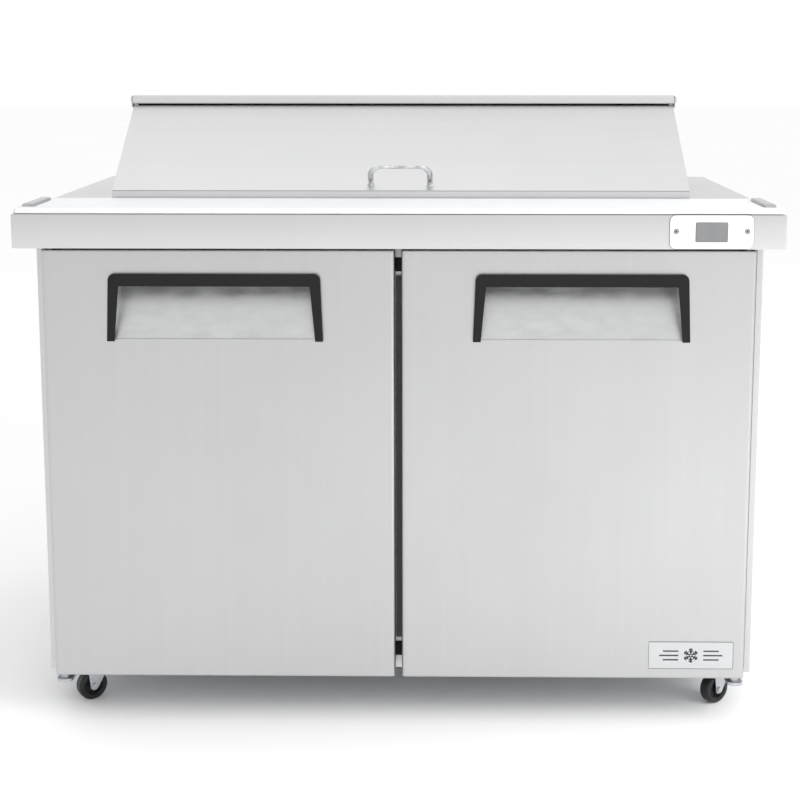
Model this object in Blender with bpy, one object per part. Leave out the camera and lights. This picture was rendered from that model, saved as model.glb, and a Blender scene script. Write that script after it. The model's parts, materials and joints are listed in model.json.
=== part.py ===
"""Sandwich prep table: a two-door refrigerated counter with food pans under a hinged hood lid.

Units are metres. +X is to the right seen from the front, the doors face -Y and +Z is up.
The origin is on the floor, under the middle of the whole object's box.
"""

import math

import bmesh
import bpy
from mathutils import Matrix, Vector

# ---------------------------------------------------------------- driving sizes
GAP = 0.0004  # running gap between neighbouring pieces
SHEET = 0.0015  # folded steel sheet

TOP_HALF = 0.612  # worktop: half its width
TOP_FRONT = -0.3775
TOP_BACK = 0.380
TOP_Z = 0.852
FASCIA_HEIGHT = 0.055
FASCIA_Z = TOP_Z - FASCIA_HEIGHT

BODY_HALF = 0.593  # cabinet under the worktop
BODY_FRONT = -0.300
BODY_BACK = 0.372
BODY_Z = 0.0715
SIDE_Z = 0.066  # the side panels hang a little below the base pan
FRONT_RETURN = 0.583  # inner edge of a side panel's front return
BACK_RETURN = 0.578
EDGE_GAP = 0.0005  # between a side panel's return and the sheet beside it
PAD_Z = 0.0669  # under side of a caster pad
BODY_TOP = 0.849

CAVITY_HALF = 0.535  # cold space inside the liner
CAVITY_FLOOR = 0.125
CAVITY_CEILING = 0.745
SHELF_X = (0.036, 0.530)
SHELF_Y = (-0.258, 0.146)
SHELF_Z = 0.420
STEP_Y = 0.150  # the cavity's lower back wall, in front of the machine compartment
STEP_Z = 0.400
REAR_Y = 0.320
REAR_CEILING = 0.790
WELL_FRONT = -0.185  # the pan well is open up to the worktop
WELL_BACK = 0.195
MULLION_HALF = 0.0305
MULLION_DEPTH = 0.032
MACHINE_Y = 0.200
MACHINE_Z = 0.352
GLAND_X = 0.547  # cord gland in the back panel, beside the grille
GLAND_Z = 0.140
GLAND_BACK = 0.3798
GRILLE_HALF = 0.515
GRILLE_Z = (0.083, 0.347)
COMPRESSOR_X = -0.330
COMPRESSOR_Y = 0.285
COMPRESSOR_HEIGHT = 0.172
CONDENSER_X = (0.230, 0.300)
CONDENSER_Y = (0.212, 0.362)
CONDENSER_HEIGHT = 0.240
PIPE_RADIUS = 0.004
PIPE_Z = 0.300  # level run of the discharge pipe

BOARD_FRONT = -0.3765
BOARD_BACK = -0.2015
BOARD_HALF = 0.6085
BOARD_TOP = 0.861
BOARD_BOTTOM = 0.8524
CLIP_FRONT = -0.350
CLIP_BACK = -0.234
CLIP_X = 0.5915  # middle of a board bracket
CLIP_HALF = 0.0085
CLIP_TOP = 0.8655

PAN_COUNT = 5
PAN_WIDTH = 0.176
PAN_DEPTH = 0.325
PAN_PITCH = 0.1765
PAN_BOTTOM = 0.754
PAN_MIDDLE_Y = -0.0095
PAN_LIP_Z = 0.8523
PAN_WALL = 0.0012
DIVIDER = 0.008
RAIL_WALL = 0.004
RAIL_Z = 0.838
RAIL_FLANGE_Z = 0.8478

LID_HALF = 0.4888
LID_FRONT = -0.194
LID_CREASE_Z = 0.8737  # where the slope meets the hem
LID_HEM_Z = 0.8545
LID_SLOPE = math.radians(33.0)
LID_LENGTH = 0.2495
LID_RETURN = 0.012
LID_LINER_HALF = 0.478
LID_LINER_DEPTH = 0.014
LID_LINER_SLOPE = (0.010, 0.228)  # where the liner starts and ends along the slope
LID_HANDLE_HALF = 0.050
LID_HANDLE_RISE = 0.037
LID_HANDLE_FOOT = 0.0155  # up the slope from the crease
LID_HANDLE_BEND = 0.012
LID_HANDLE_RADIUS = 0.004
HINGE_Y = 0.0205
HINGE_Z = 1.020
BAR_SIZE = 0.016
BAR_HALF = 0.4907
ROD_RADIUS = 0.003
CHEEK_HALF = 0.4858  # hood cover, outer face of its cheeks
HOOD_BACK = 0.362
HOOD_TOP_FRONT = (0.0335, 1.0245)
HOOD_TOP_BACK_Z = 0.9975
HOOD_SLOPE = 0.2440  # how far the cheeks follow the lid
EAR_HALF = 0.4931
EAR_Y = (0.0125, 0.036, 0.048)  # front, step and back of a hinge ear
EAR_Z = (1.006, 1.027)

DOOR_INNER = 0.0055  # door edge next to the middle gap
DOOR_OUTER = 0.571
DOOR_FRONT = -0.360
DOOR_BACK = -0.305
DOOR_BOTTOM = 0.080
DOOR_TOP = 0.792
DOOR_EDGE = 0.006
PIN_X = 0.558
PIN_Y = -0.345
PIN_RADIUS = 0.004
BRACKET_HALF = 0.013
BRACKET_FRONT = -0.3585
LOWER_BRACKET_BACK = -0.2895
LOWER_BRACKET_Z = (0.0655, 0.0711)
UPPER_BRACKET_Z = (0.7945, 0.7995)
BRACKET_TAB_TOP = 0.835
BADGE_MIDDLE = (0.4823, 0.1198)
BADGE_HALF = (0.0693, 0.0228)
GASKET_INNER_X = 0.014
GASKET_OUTER_X = 0.556
GASKET_Z = (0.105, 0.765)
GASKET_WIDTH = 0.016

HANDLE_X = 0.2935
HANDLE_TOP = 0.7535
HANDLE_BOTTOM = 0.6467
HANDLE_BAR = 0.0176
HANDLE_HALF_TOP = 0.1680
HANDLE_HALF_BOTTOM = 0.1722
HANDLE_PROUD = 0.0064
POCKET_DEPTH = 0.038
POCKET_TOP = 0.748
POCKET_BOTTOM = 0.651
POCKET_HALF_TOP = 0.1555
POCKET_HALF_BOTTOM = 0.1630

PLATE_X = 0.494  # control plate
PLATE_HALF = (0.0655, 0.0265)
PLATE_Z = 0.8245
PLATE_FRONT = -0.3792
PLATE_SCREW_X = 0.0558
PLATE_SCREW_FRONT = -0.380
PLATE_RADIUS = 0.009
DISPLAY_HALF = (0.0245, 0.0148)

SWIVEL_REST = math.radians(35.0)
CASTER_SPREAD = 0.536
CASTER_SHIFT = 0.015  # the caster stems sit a little to the right of the middle
CASTER_Y = (-0.261, 0.300)
TRAIL = 0.014
WHEEL_RADIUS = 0.0255
WHEEL_HALF = 0.010
AXLE_RADIUS = 0.003

COLOURS = {  # slot: base colour, roughness, metallic
    "steel": ((0.62, 0.62, 0.63, 1.0), 0.32, 1.0),
    "satin_steel": ((0.70, 0.70, 0.71, 1.0), 0.36, 1.0),
    "steel_inner": ((0.55, 0.56, 0.57, 1.0), 0.40, 1.0),
    "chrome": ((0.80, 0.80, 0.81, 1.0), 0.08, 1.0),
    "zinc": ((0.60, 0.62, 0.65, 1.0), 0.35, 1.0),
    "aluminium": ((0.72, 0.73, 0.74, 1.0), 0.38, 1.0),
    "copper": ((0.72, 0.43, 0.30, 1.0), 0.30, 1.0),
    "coil_paint": ((0.030, 0.030, 0.032, 1.0), 0.50, 0.0),
    "white_plastic": ((0.85, 0.86, 0.87, 1.0), 0.40, 0.0),
    "control_white": ((0.86, 0.86, 0.86, 1.0), 0.42, 0.0),
    "liner_plastic": ((0.80, 0.82, 0.83, 1.0), 0.45, 0.0),
    "foam": ((0.78, 0.70, 0.45, 1.0), 0.90, 0.0),
    "black_plastic": ((0.012, 0.012, 0.014, 1.0), 0.35, 0.0),
    "grey_plastic": ((0.30, 0.31, 0.32, 1.0), 0.50, 0.0),
    "gasket_rubber": ((0.10, 0.10, 0.11, 1.0), 0.65, 0.0),
    "wheel_rubber": ((0.02, 0.02, 0.02, 1.0), 0.55, 0.0),
    "compressor_paint": ((0.015, 0.015, 0.017, 1.0), 0.30, 0.0),
    "display": ((0.10, 0.11, 0.11, 1.0), 0.15, 0.0),
}


# ---------------------------------------------------------------- scene helpers
def clear_scene():
    for obj in list(bpy.data.objects):
        bpy.data.objects.remove(obj, do_unlink=True)


def slot_material(node, slot):
    """A Principled material of the node's own, with its slot's colour and finish."""
    colour, roughness, metallic = COLOURS[slot]
    material = bpy.data.materials.new(node + "_" + slot)
    material.use_nodes = True
    shader = material.node_tree.nodes["Principled BSDF"]
    shader.inputs["Base Color"].default_value = colour
    shader.inputs["Roughness"].default_value = roughness
    shader.inputs["Metallic"].default_value = metallic
    return material


def add_object(name, bm, slot=None, origin=(0, 0, 0), smooth=False):
    """Links the bmesh as an object whose own origin is at the given point."""
    bmesh.ops.recalc_face_normals(bm, faces=bm.faces)
    bmesh.ops.translate(bm, verts=bm.verts, vec=-Vector(origin))
    mesh = bpy.data.meshes.new(name)
    bm.to_mesh(mesh)
    bm.free()
    obj = bpy.data.objects.new(name, mesh)
    obj.location = origin
    bpy.context.scene.collection.objects.link(obj)
    if slot:
        mesh.materials.append(slot_material(name, slot))
    if smooth:
        mesh.shade_smooth()
        mesh.set_sharp_from_angle(angle=math.radians(35))
    return obj


def as_guide(obj):
    """A cutter or an added lump, which isn't a piece of its own."""
    obj.hide_render = True
    obj.display_type = "WIRE"
    return obj


def combine(obj, operation, *guides):
    for guide in guides:
        modifier = obj.modifiers.new(guide.name, "BOOLEAN")
        modifier.operation = operation
        modifier.solver = "EXACT"
        modifier.object = as_guide(guide)
    return obj


def cut(obj, *guides):
    return combine(obj, "DIFFERENCE", *guides)


def join(obj, *guides):
    return combine(obj, "UNION", *guides)


# ---------------------------------------------------------------- mesh helpers
def box_mesh(lo, hi):
    bm = bmesh.new()
    size = Vector(hi) - Vector(lo)
    middle = (Vector(hi) + Vector(lo)) / 2
    matrix = Matrix.Translation(middle) @ Matrix.Diagonal((*size, 1.0))
    bmesh.ops.create_cube(bm, size=1.0, matrix=matrix)
    return bm


def box(name, lo, hi, slot=None, origin=(0, 0, 0)):
    return add_object(name, box_mesh(lo, hi), slot, origin)


def bevel_where(bm, chosen, width, segments):
    """Rounds the edges for which chosen(edge) is true."""
    edges = [edge for edge in bm.edges if chosen(edge)]
    bmesh.ops.bevel(
        bm, geom=edges, offset=width, segments=segments, profile=0.5, affect="EDGES"
    )


def edge_runs(edge, axis):
    """True for an edge that lies along the axis with this index."""
    step = edge.verts[1].co - edge.verts[0].co
    return abs(step[axis]) > 0.99 * step.length


def prism_mesh(outline, axis, lo, hi):
    """Extrudes an outline along X (outline in y, z), Y (x, z) or Z (x, y)."""
    place = {
        "X": lambda a, b, c: (c, a, b),
        "Y": lambda a, b, c: (a, c, b),
        "Z": lambda a, b, c: (a, b, c),
    }[axis]
    bm = bmesh.new()
    low = [bm.verts.new(place(a, b, lo)) for a, b in outline]
    high = [bm.verts.new(place(a, b, hi)) for a, b in outline]
    bm.faces.new(low)
    bm.faces.new(high[::-1])
    count = len(outline)
    for i in range(count):
        j = (i + 1) % count
        bm.faces.new((low[i], low[j], high[j], high[i]))
    return bm


def prism(name, outline, axis, lo, hi, slot=None, origin=(0, 0, 0)):
    return add_object(name, prism_mesh(outline, axis, lo, hi), slot, origin)


def rounded_outline(middle, half, radius, steps=3):
    """A rectangle with round corners, as points counter-clockwise."""
    points = []
    corners = ((1, 1), (-1, 1), (-1, -1), (1, -1))
    for quarter, (side_a, side_b) in enumerate(corners):
        centre_a = middle[0] + side_a * (half[0] - radius)
        centre_b = middle[1] + side_b * (half[1] - radius)
        for step in range(steps + 1):
            angle = math.pi / 2 * (quarter + step / steps)
            points.append(
                (centre_a + radius * math.cos(angle), centre_b + radius * math.sin(angle))
            )
    return points


def loft_mesh(rings):
    """Joins rings of equal length, and caps the first and the last."""
    bm = bmesh.new()
    rows = [[bm.verts.new(point) for point in ring] for ring in rings]
    count = len(rows[0])
    for row, following in zip(rows, rows[1:]):
        for i in range(count):
            j = (i + 1) % count
            bm.faces.new((row[i], row[j], following[j], following[i]))
    bm.faces.new(rows[0])
    bm.faces.new(rows[-1][::-1])
    return bm


def turned_mesh(profile, segments, closed=False, half_step=False):
    """Turns (radius, height) points about Z. A closed profile makes a ring with a bore."""
    offset = 0.5 if half_step else 0.0
    bm = bmesh.new()
    rows = []
    for radius, height in profile:
        row = []
        for i in range(segments):
            angle = 2 * math.pi * (i + offset) / segments
            row.append(
                bm.verts.new((radius * math.cos(angle), radius * math.sin(angle), height))
            )
        rows.append(row)
    pairs = list(zip(rows, rows[1:]))
    if closed:
        pairs.append((rows[-1], rows[0]))
    for row, following in pairs:
        for i in range(segments):
            j = (i + 1) % segments
            bm.faces.new((row[i], row[j], following[j], following[i]))
    if not closed:
        bm.faces.new(rows[0])
        bm.faces.new(rows[-1][::-1])
    return bm


def moved(bm, matrix):
    bmesh.ops.transform(bm, matrix=matrix, verts=bm.verts)
    return bm


ALONG = {  # turns a shape made along +Z so that it lies along another axis
    "X": Matrix.Rotation(math.radians(90), 4, "Y"),
    "Y": Matrix.Rotation(math.radians(-90), 4, "X"),
    "Z": Matrix.Identity(4),
}


def rod_mesh(radius, start, length, axis="Z", segments=12):
    bm = turned_mesh([(radius, 0.0), (radius, length)], segments)
    return moved(bm, Matrix.Translation(start) @ ALONG[axis])


def rod(name, radius, start, length, axis="Z", segments=12, slot=None, origin=(0, 0, 0)):
    bm = rod_mesh(radius, start, length, axis, segments)
    return add_object(name, bm, slot, origin, smooth=True)


def merge(target, *others):
    """Adds other bmeshes' geometry to the target bmesh, as loose shells."""
    for other in others:
        mesh = bpy.data.meshes.new("merge")
        other.to_mesh(mesh)
        other.free()
        target.from_mesh(mesh)
        bpy.data.meshes.remove(mesh)
    return target


# ---------------------------------------------------------------- cabinet
def make_side_panel(name, side):
    """A sheet with a return folded in at the front and at the back."""
    inner = BODY_HALF - SHEET
    outline = [
        (FRONT_RETURN, BODY_FRONT),
        (BODY_HALF, BODY_FRONT),
        (BODY_HALF, BODY_BACK),
        (BACK_RETURN, BODY_BACK),
        (BACK_RETURN, BODY_BACK - SHEET),
        (inner, BODY_BACK - SHEET),
        (inner, BODY_FRONT + SHEET),
        (FRONT_RETURN, BODY_FRONT + SHEET),
    ]
    outline = [(side * x, y) for x, y in outline]
    bm = prism_mesh(outline, "Z", SIDE_Z, BODY_TOP)
    outer = [
        edge
        for edge in bm.edges
        if edge_runs(edge, 2) and abs(abs(edge.verts[0].co.x) - BODY_HALF) < 1e-5
    ]
    bmesh.ops.bevel(bm, geom=outer, offset=0.0012, segments=2, profile=0.5, affect="EDGES")
    add_object(name, bm, "steel")


def make_base_pan():
    """A shallow tray with a pad under each corner for a caster stem."""
    half = BODY_HALF - SHEET - GAP * 2
    front = BODY_FRONT + SHEET + GAP * 2
    back = BODY_BACK - SHEET - GAP * 2
    top = BODY_Z + 0.012
    base = box("base_pan", (-half, front, BODY_Z), (half, back, top), "zinc")
    low = (-half + SHEET, front + SHEET, BODY_Z + SHEET)
    cut(base, box("base_hollow", low, (half - SHEET, back - SHEET, top + 0.01)))
    for x in (-CASTER_SPREAD + CASTER_SHIFT, CASTER_SPREAD + CASTER_SHIFT):
        for y in CASTER_Y:
            pad = box("pad", (x - 0.033, y - 0.027, PAD_Z), (x + 0.033, y + 0.030, BODY_Z + 0.001))
            join(base, pad)


def make_back_panel():
    """The rear sheet, open behind the grille and at the cord gland."""
    half = BACK_RETURN - EDGE_GAP
    back = box("back_panel", (-half, BODY_BACK - SHEET, BODY_Z), (half, BODY_BACK, BODY_TOP), "steel")
    lap = 0.012  # how far the grille reaches past the hole
    width = GRILLE_HALF - lap - 0.003
    start = BODY_BACK - 0.012
    low, high = (-width, start, GRILLE_Z[0] + lap), (width, start + 0.02, GRILLE_Z[1] - lap)
    cut(back, box("grille_hole", low, high))
    cut(back, rod("gland_hole", 0.0095, (GLAND_X, start, GLAND_Z), 0.02, "Y", 12))


def cavity_outline(grow, past):
    """The cold space's side profile, grown outwards, and run past its two open ends."""
    return [
        (BODY_FRONT + 0.002 - past, CAVITY_FLOOR - grow),
        (STEP_Y + grow, CAVITY_FLOOR - grow),
        (STEP_Y + grow, STEP_Z - grow),
        (REAR_Y + grow, STEP_Z - grow),
        (REAR_Y + grow, REAR_CEILING + grow),
        (WELL_BACK + grow, REAR_CEILING + grow),
        (WELL_BACK + grow, BODY_TOP + past),
        (WELL_FRONT - grow, BODY_TOP + past),
        (WELL_FRONT - grow, CAVITY_CEILING + grow),
        (BODY_FRONT + 0.002 - past, CAVITY_CEILING + grow),
    ]


def make_liner_and_foam():
    outer = CAVITY_HALF + SHEET
    liner = prism("cabinet_liner", cavity_outline(SHEET, 0.0), "X", -outer, outer, "aluminium")
    cut(liner, prism("cavity", cavity_outline(0.0, 0.02), "X", -CAVITY_HALF, CAVITY_HALF))

    front = BODY_FRONT + SHEET + GAP
    base = BODY_Z + 0.0125
    back = BODY_BACK - SHEET - GAP
    outline = [
        (front, base),
        (front, BODY_TOP),
        (back, BODY_TOP),
        (back, MACHINE_Z),
        (MACHINE_Y, MACHINE_Z),
        (MACHINE_Y, base),
    ]
    half = BODY_HALF - SHEET - GAP
    foam = prism("cabinet_insulation", outline, "X", -half, half, "foam")
    clear = outer + GAP
    cut(foam, prism("liner_room", cavity_outline(SHEET + GAP, 0.02), "X", -clear, clear))


def make_front_frame():
    """The sheet that the gaskets seal on, with one opening that the mullion divides."""
    half = FRONT_RETURN - EDGE_GAP
    frame = box("front_frame", (-half, BODY_FRONT, BODY_Z), (half, BODY_FRONT + SHEET, BODY_TOP), "steel")
    past = 0.01
    cut(
        frame,
        box(
            "door_opening",
            (-CAVITY_HALF, BODY_FRONT - past, CAVITY_FLOOR),
            (CAVITY_HALF, BODY_FRONT + past, CAVITY_CEILING),
        ),
    )
    low = CAVITY_FLOOR + GAP
    high = CAVITY_CEILING - GAP
    back = BODY_FRONT + MULLION_DEPTH
    inner = MULLION_HALF - SHEET
    mullion = box("center_mullion", (-MULLION_HALF, BODY_FRONT, low), (MULLION_HALF, back, high), "steel")
    cut(
        mullion,
        box("mullion_hollow", (-inner, BODY_FRONT + SHEET, low - past), (inner, back + past, high + past)),
    )


def make_worktop():
    """A folded top with a skirt all round, cut out over the pan well."""
    bm = box_mesh((-TOP_HALF, TOP_FRONT, FASCIA_Z), (TOP_HALF, TOP_BACK, TOP_Z))

    def above_the_skirt(edge):
        return any(vert.co.z > TOP_Z - 0.001 for vert in edge.verts)

    bevel_where(bm, above_the_skirt, 0.003, 2)
    worktop = add_object("worktop", bm, "steel")
    cut(
        worktop,
        box(
            "worktop_hollow",
            (-TOP_HALF + SHEET, TOP_FRONT + SHEET, FASCIA_Z - 0.01),
            (TOP_HALF - SHEET, TOP_BACK - SHEET, TOP_Z - SHEET),
        ),
    )
    half = (rail_half()[0] + GAP, rail_half()[1] + GAP)
    outline = rounded_outline((0, PAN_MIDDLE_Y), half, 0.008)
    cut(worktop, prism("pan_cutout", outline, "Z", TOP_Z - 0.02, TOP_Z + 0.02))


# ---------------------------------------------------------------- pans and board
def cell_half():
    return ((PAN_PITCH - DIVIDER) / 2, (PAN_DEPTH - 2 * RAIL_WALL) / 2)


def rail_half():
    """Half sizes of the pan rail's outer ring."""
    across = PAN_PITCH * (PAN_COUNT - 1) / 2 + cell_half()[0] + RAIL_WALL
    return (across, PAN_DEPTH / 2)


def pan_x(index):
    return (index - (PAN_COUNT - 1) / 2) * PAN_PITCH


def make_pan_rail():
    """A ring with dividers that carries the pans' lips, and a flange under the worktop."""
    outline = rounded_outline((0, PAN_MIDDLE_Y), rail_half(), 0.0075)
    rail = prism("pan_rail", outline, "Z", RAIL_Z, TOP_Z - 0.0002, "steel_inner")
    half = rail_half()
    flange = rounded_outline((0, PAN_MIDDLE_Y), (half[0] + 0.010, half[1] + 0.008), 0.0175)
    join(rail, prism("rail_flange", flange, "Z", RAIL_FLANGE_Z, TOP_Z - SHEET - GAP))
    for index in range(PAN_COUNT):
        cell = rounded_outline((pan_x(index), PAN_MIDDLE_Y), cell_half(), 0.004, 2)
        cut(rail, prism("rail_cell", cell, "Z", RAIL_Z - 0.01, TOP_Z + 0.01))


def make_pan(index):
    middle = (pan_x(index), PAN_MIDDLE_Y)
    lip_top = PAN_LIP_Z + 0.0015

    def ring(half, radius, z):
        return [(x, y, z) for x, y in rounded_outline(middle, half, radius, 3)]

    body = (0.0780, 0.1525)
    floor = (0.0710, 0.1455)
    lip = (PAN_WIDTH / 2, PAN_DEPTH / 2)
    rings = [
        ring(floor, 0.022, PAN_BOTTOM),
        ring(body, 0.022, PAN_LIP_Z),
        ring(lip, 0.010, PAN_LIP_Z),
        ring(lip, 0.010, lip_top),
        ring((body[0] - PAN_WALL, body[1] - PAN_WALL), 0.021, lip_top),
        ring((floor[0] - PAN_WALL, floor[1] - PAN_WALL), 0.021, PAN_BOTTOM + PAN_WALL),
    ]
    add_object("food_pan_%d" % (index + 1), loft_mesh(rings), "steel_inner", smooth=True)


def make_board():
    """The cutting board lifts straight up off the two brackets that stand in its slots."""
    middle_y = (BOARD_FRONT + BOARD_BACK) / 2
    half = (BOARD_HALF, (BOARD_BACK - BOARD_FRONT) / 2)
    outline = rounded_outline((0, middle_y), half, 0.006)
    bm = prism_mesh(outline, "Z", BOARD_BOTTOM, BOARD_TOP)
    bevel_where(bm, lambda edge: all(v.co.z > BOARD_TOP - 1e-5 for v in edge.verts), 0.0025, 2)
    board = add_object("cutting_board", bm, "white_plastic", (0, middle_y, BOARD_BOTTOM))
    for side, label in ((-1, "left"), (1, "right")):
        x = side * CLIP_X
        free = 0.001
        reach = CLIP_HALF + free
        slot_low = (x - reach, CLIP_FRONT - free, BOARD_BOTTOM - 0.01)
        cut(board, box("slot", slot_low, (x + reach, CLIP_BACK + free, BOARD_TOP + 0.01)))
        clip = box_mesh((x - CLIP_HALF, CLIP_FRONT, BOARD_BOTTOM), (x + CLIP_HALF, CLIP_BACK, CLIP_TOP))
        bevel_where(clip, lambda edge: all(v.co.z > CLIP_TOP - 1e-5 for v in edge.verts), 0.002, 2)
        add_object("board_bracket_" + label, clip, "satin_steel")


# ---------------------------------------------------------------- hood
def on_slope(distance, lift):
    """A (y, z) point this far up the lid from its crease, lifted off its outer face."""
    along = (math.cos(LID_SLOPE), math.sin(LID_SLOPE))
    normal = (-along[1], along[0])
    return (
        LID_FRONT + distance * along[0] + lift * normal[0],
        LID_CREASE_Z + distance * along[1] + lift * normal[1],
    )


def make_hood_cover():
    """Cheeks, top and back in one folded shell, open towards the lid and the pans."""
    low = TOP_Z + GAP
    crease = on_slope(0.0, -SHEET - 0.001)
    front = LID_FRONT + SHEET + 0.002
    top_of_slope = on_slope(HOOD_SLOPE, -SHEET - 0.001)
    outline = [
        (front, low),
        (HOOD_BACK, low),
        (HOOD_BACK, HOOD_TOP_BACK_Z),
        HOOD_TOP_FRONT,
        (HOOD_TOP_FRONT[0], top_of_slope[1] + 0.001),
        top_of_slope,
        (front, crease[1] + (front - crease[0]) * math.tan(LID_SLOPE)),
    ]
    cover = prism("hood_cover", outline, "X", -CHEEK_HALF, CHEEK_HALF, "steel")
    past = 0.05  # the hollow runs this far out of the open front and bottom
    fall = (HOOD_TOP_FRONT[1] - HOOD_TOP_BACK_Z) / (HOOD_BACK - HOOD_TOP_FRONT[0])
    hollow = [
        (front - past, low - past),
        (HOOD_BACK - SHEET, low - past),
        (HOOD_BACK - SHEET, HOOD_TOP_BACK_Z - SHEET),
        (HOOD_TOP_FRONT[0] - past, HOOD_TOP_FRONT[1] - SHEET + fall * past),
        (front - past, HOOD_TOP_FRONT[1] - SHEET),
    ]
    inner = CHEEK_HALF - SHEET
    cut(cover, prism("hood_hollow", hollow, "X", -inner, inner))
    for side in (-1, 1):
        # The ears hold the hinge rod outside the ends of the hinge bar.
        front_y, step_y, back_y = EAR_Y
        ear = [
            (EAR_HALF, front_y),
            (EAR_HALF, back_y),
            (CHEEK_HALF - 0.001, back_y),
            (CHEEK_HALF - 0.001, step_y),
            (BAR_HALF + GAP, step_y),
            (BAR_HALF + GAP, front_y),
        ]
        join(cover, prism("hinge_ear", [(side * x, y) for x, y in ear], "Z", *EAR_Z))
    reach = EAR_HALF + 0.01
    cut(cover, rod("rod_hole", ROD_RADIUS + GAP, (-reach, HINGE_Y, HINGE_Z), 2 * reach, "X", 12))


def make_lid():
    """A folded sheet: the slope, a front hem and a return down each side."""
    origin = (0, HINGE_Y, HINGE_Z)
    top = on_slope(LID_LENGTH, 0.0)
    top_inner = on_slope(LID_LENGTH, -LID_RETURN)
    outline = [
        (LID_FRONT, LID_HEM_Z),
        (LID_FRONT + 0.011, LID_HEM_Z),
        (LID_FRONT + 0.011, on_slope(0.013, -LID_RETURN)[1]),
        on_slope(0.020, -LID_RETURN),
        top_inner,
        top,
        (LID_FRONT, LID_CREASE_Z),
    ]
    lid = prism("lid_panel", outline, "X", -LID_HALF, LID_HALF, "steel", origin)
    under_crease = on_slope(0.0, -SHEET)
    past = 0.02  # the hollow runs this far out of the open bottom and rear
    behind_hem = LID_FRONT + SHEET
    hollow = [
        (behind_hem, LID_HEM_Z - past),
        (LID_FRONT + 0.05, LID_HEM_Z - past),
        on_slope(LID_LENGTH + past, -LID_RETURN - 0.03),
        on_slope(LID_LENGTH + past, -SHEET),
        (behind_hem, under_crease[1] + (behind_hem - under_crease[0]) * math.tan(LID_SLOPE)),
    ]
    inner = LID_HALF - SHEET
    cut(lid, prism("lid_hollow", hollow, "X", -inner, inner))

    half = BAR_SIZE / 2
    bar_outline = rounded_outline((HINGE_Y, HINGE_Z), (half, half), 0.0035, 2)
    bar = prism("lid_hinge_bar", bar_outline, "X", -BAR_HALF, BAR_HALF, "steel", origin)
    bore = ROD_RADIUS + GAP
    cut(bar, rod("bar_bore", bore, (-0.5, HINGE_Y, HINGE_Z), 1.0, "X", 12))
    rod("hinge_rod", ROD_RADIUS, (-EAR_HALF, HINGE_Y, HINGE_Z), 2 * EAR_HALF, "X", 12, "zinc")

    shallow = -SHEET - GAP
    deep = shallow - LID_LINER_DEPTH
    start, end = LID_LINER_SLOPE
    slab = [
        on_slope(start + 0.004, deep),
        on_slope(end - 0.006, deep),
        on_slope(end, shallow),
        on_slope(start, shallow),
    ]
    prism("lid_liner", slab, "X", -LID_LINER_HALF, LID_LINER_HALF, "liner_plastic", origin)


def make_lid_handle():
    """A bow pull near the lid's front edge, standing square to the slope."""
    half = LID_HANDLE_HALF
    bend = LID_HANDLE_BEND
    rise = LID_HANDLE_RISE
    points = [(-half, 0.0006), (-half, rise - bend)]
    points += [
        (-half + bend - bend * math.cos(t), rise - bend + bend * math.sin(t))
        for t in (math.radians(30), math.radians(60), math.radians(90))
    ]
    points += [(-x, lift) for x, lift in points[::-1]]
    curve = bpy.data.curves.new("lid_handle", "CURVE")
    curve.dimensions = "3D"
    curve.bevel_depth = LID_HANDLE_RADIUS
    curve.bevel_resolution = 2
    curve.use_fill_caps = True
    spline = curve.splines.new("POLY")
    spline.points.add(len(points) - 1)
    origin = Vector((0, HINGE_Y, HINGE_Z))
    for point, (x, lift) in zip(spline.points, points):
        y, z = on_slope(LID_HANDLE_FOOT, lift)
        point.co = (*(Vector((x, y, z)) - origin), 1.0)
    curve.materials.append(slot_material("lid_handle", "chrome"))
    handle = bpy.data.objects.new("lid_handle", curve)
    handle.location = origin
    bpy.context.scene.collection.objects.link(handle)


# ---------------------------------------------------------------- doors
def wedge_mesh(grow, side, past):
    """The finger pocket: flush with the door at its lower edge and deepest at its top."""
    middle = side * HANDLE_X
    front = DOOR_FRONT - past
    bottom = POCKET_BOTTOM - grow * 1.1
    top = POCKET_TOP + grow
    deep = DOOR_FRONT + POCKET_DEPTH + grow
    half_low = POCKET_HALF_BOTTOM + grow
    half_high = POCKET_HALF_TOP + grow
    rings = []
    for x_side in (-1, 1):
        low = middle + x_side * half_low
        high = middle + x_side * half_high
        rings.append([
            (low, front, bottom),
            (low, DOOR_FRONT + 0.0005, bottom),
            (high, deep, top - 0.006),
            (high, deep, top),
            (high, front, top),
        ])
    bm = loft_mesh(rings)
    bmesh.ops.triangulate(bm, faces=[f for f in bm.faces if len(f.verts) > 3])
    return bm


def front_upright(front):
    """Chooses the upright edges at this front plane."""
    return lambda edge: edge_runs(edge, 2) and edge.verts[0].co.y < front + 1e-5


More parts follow.
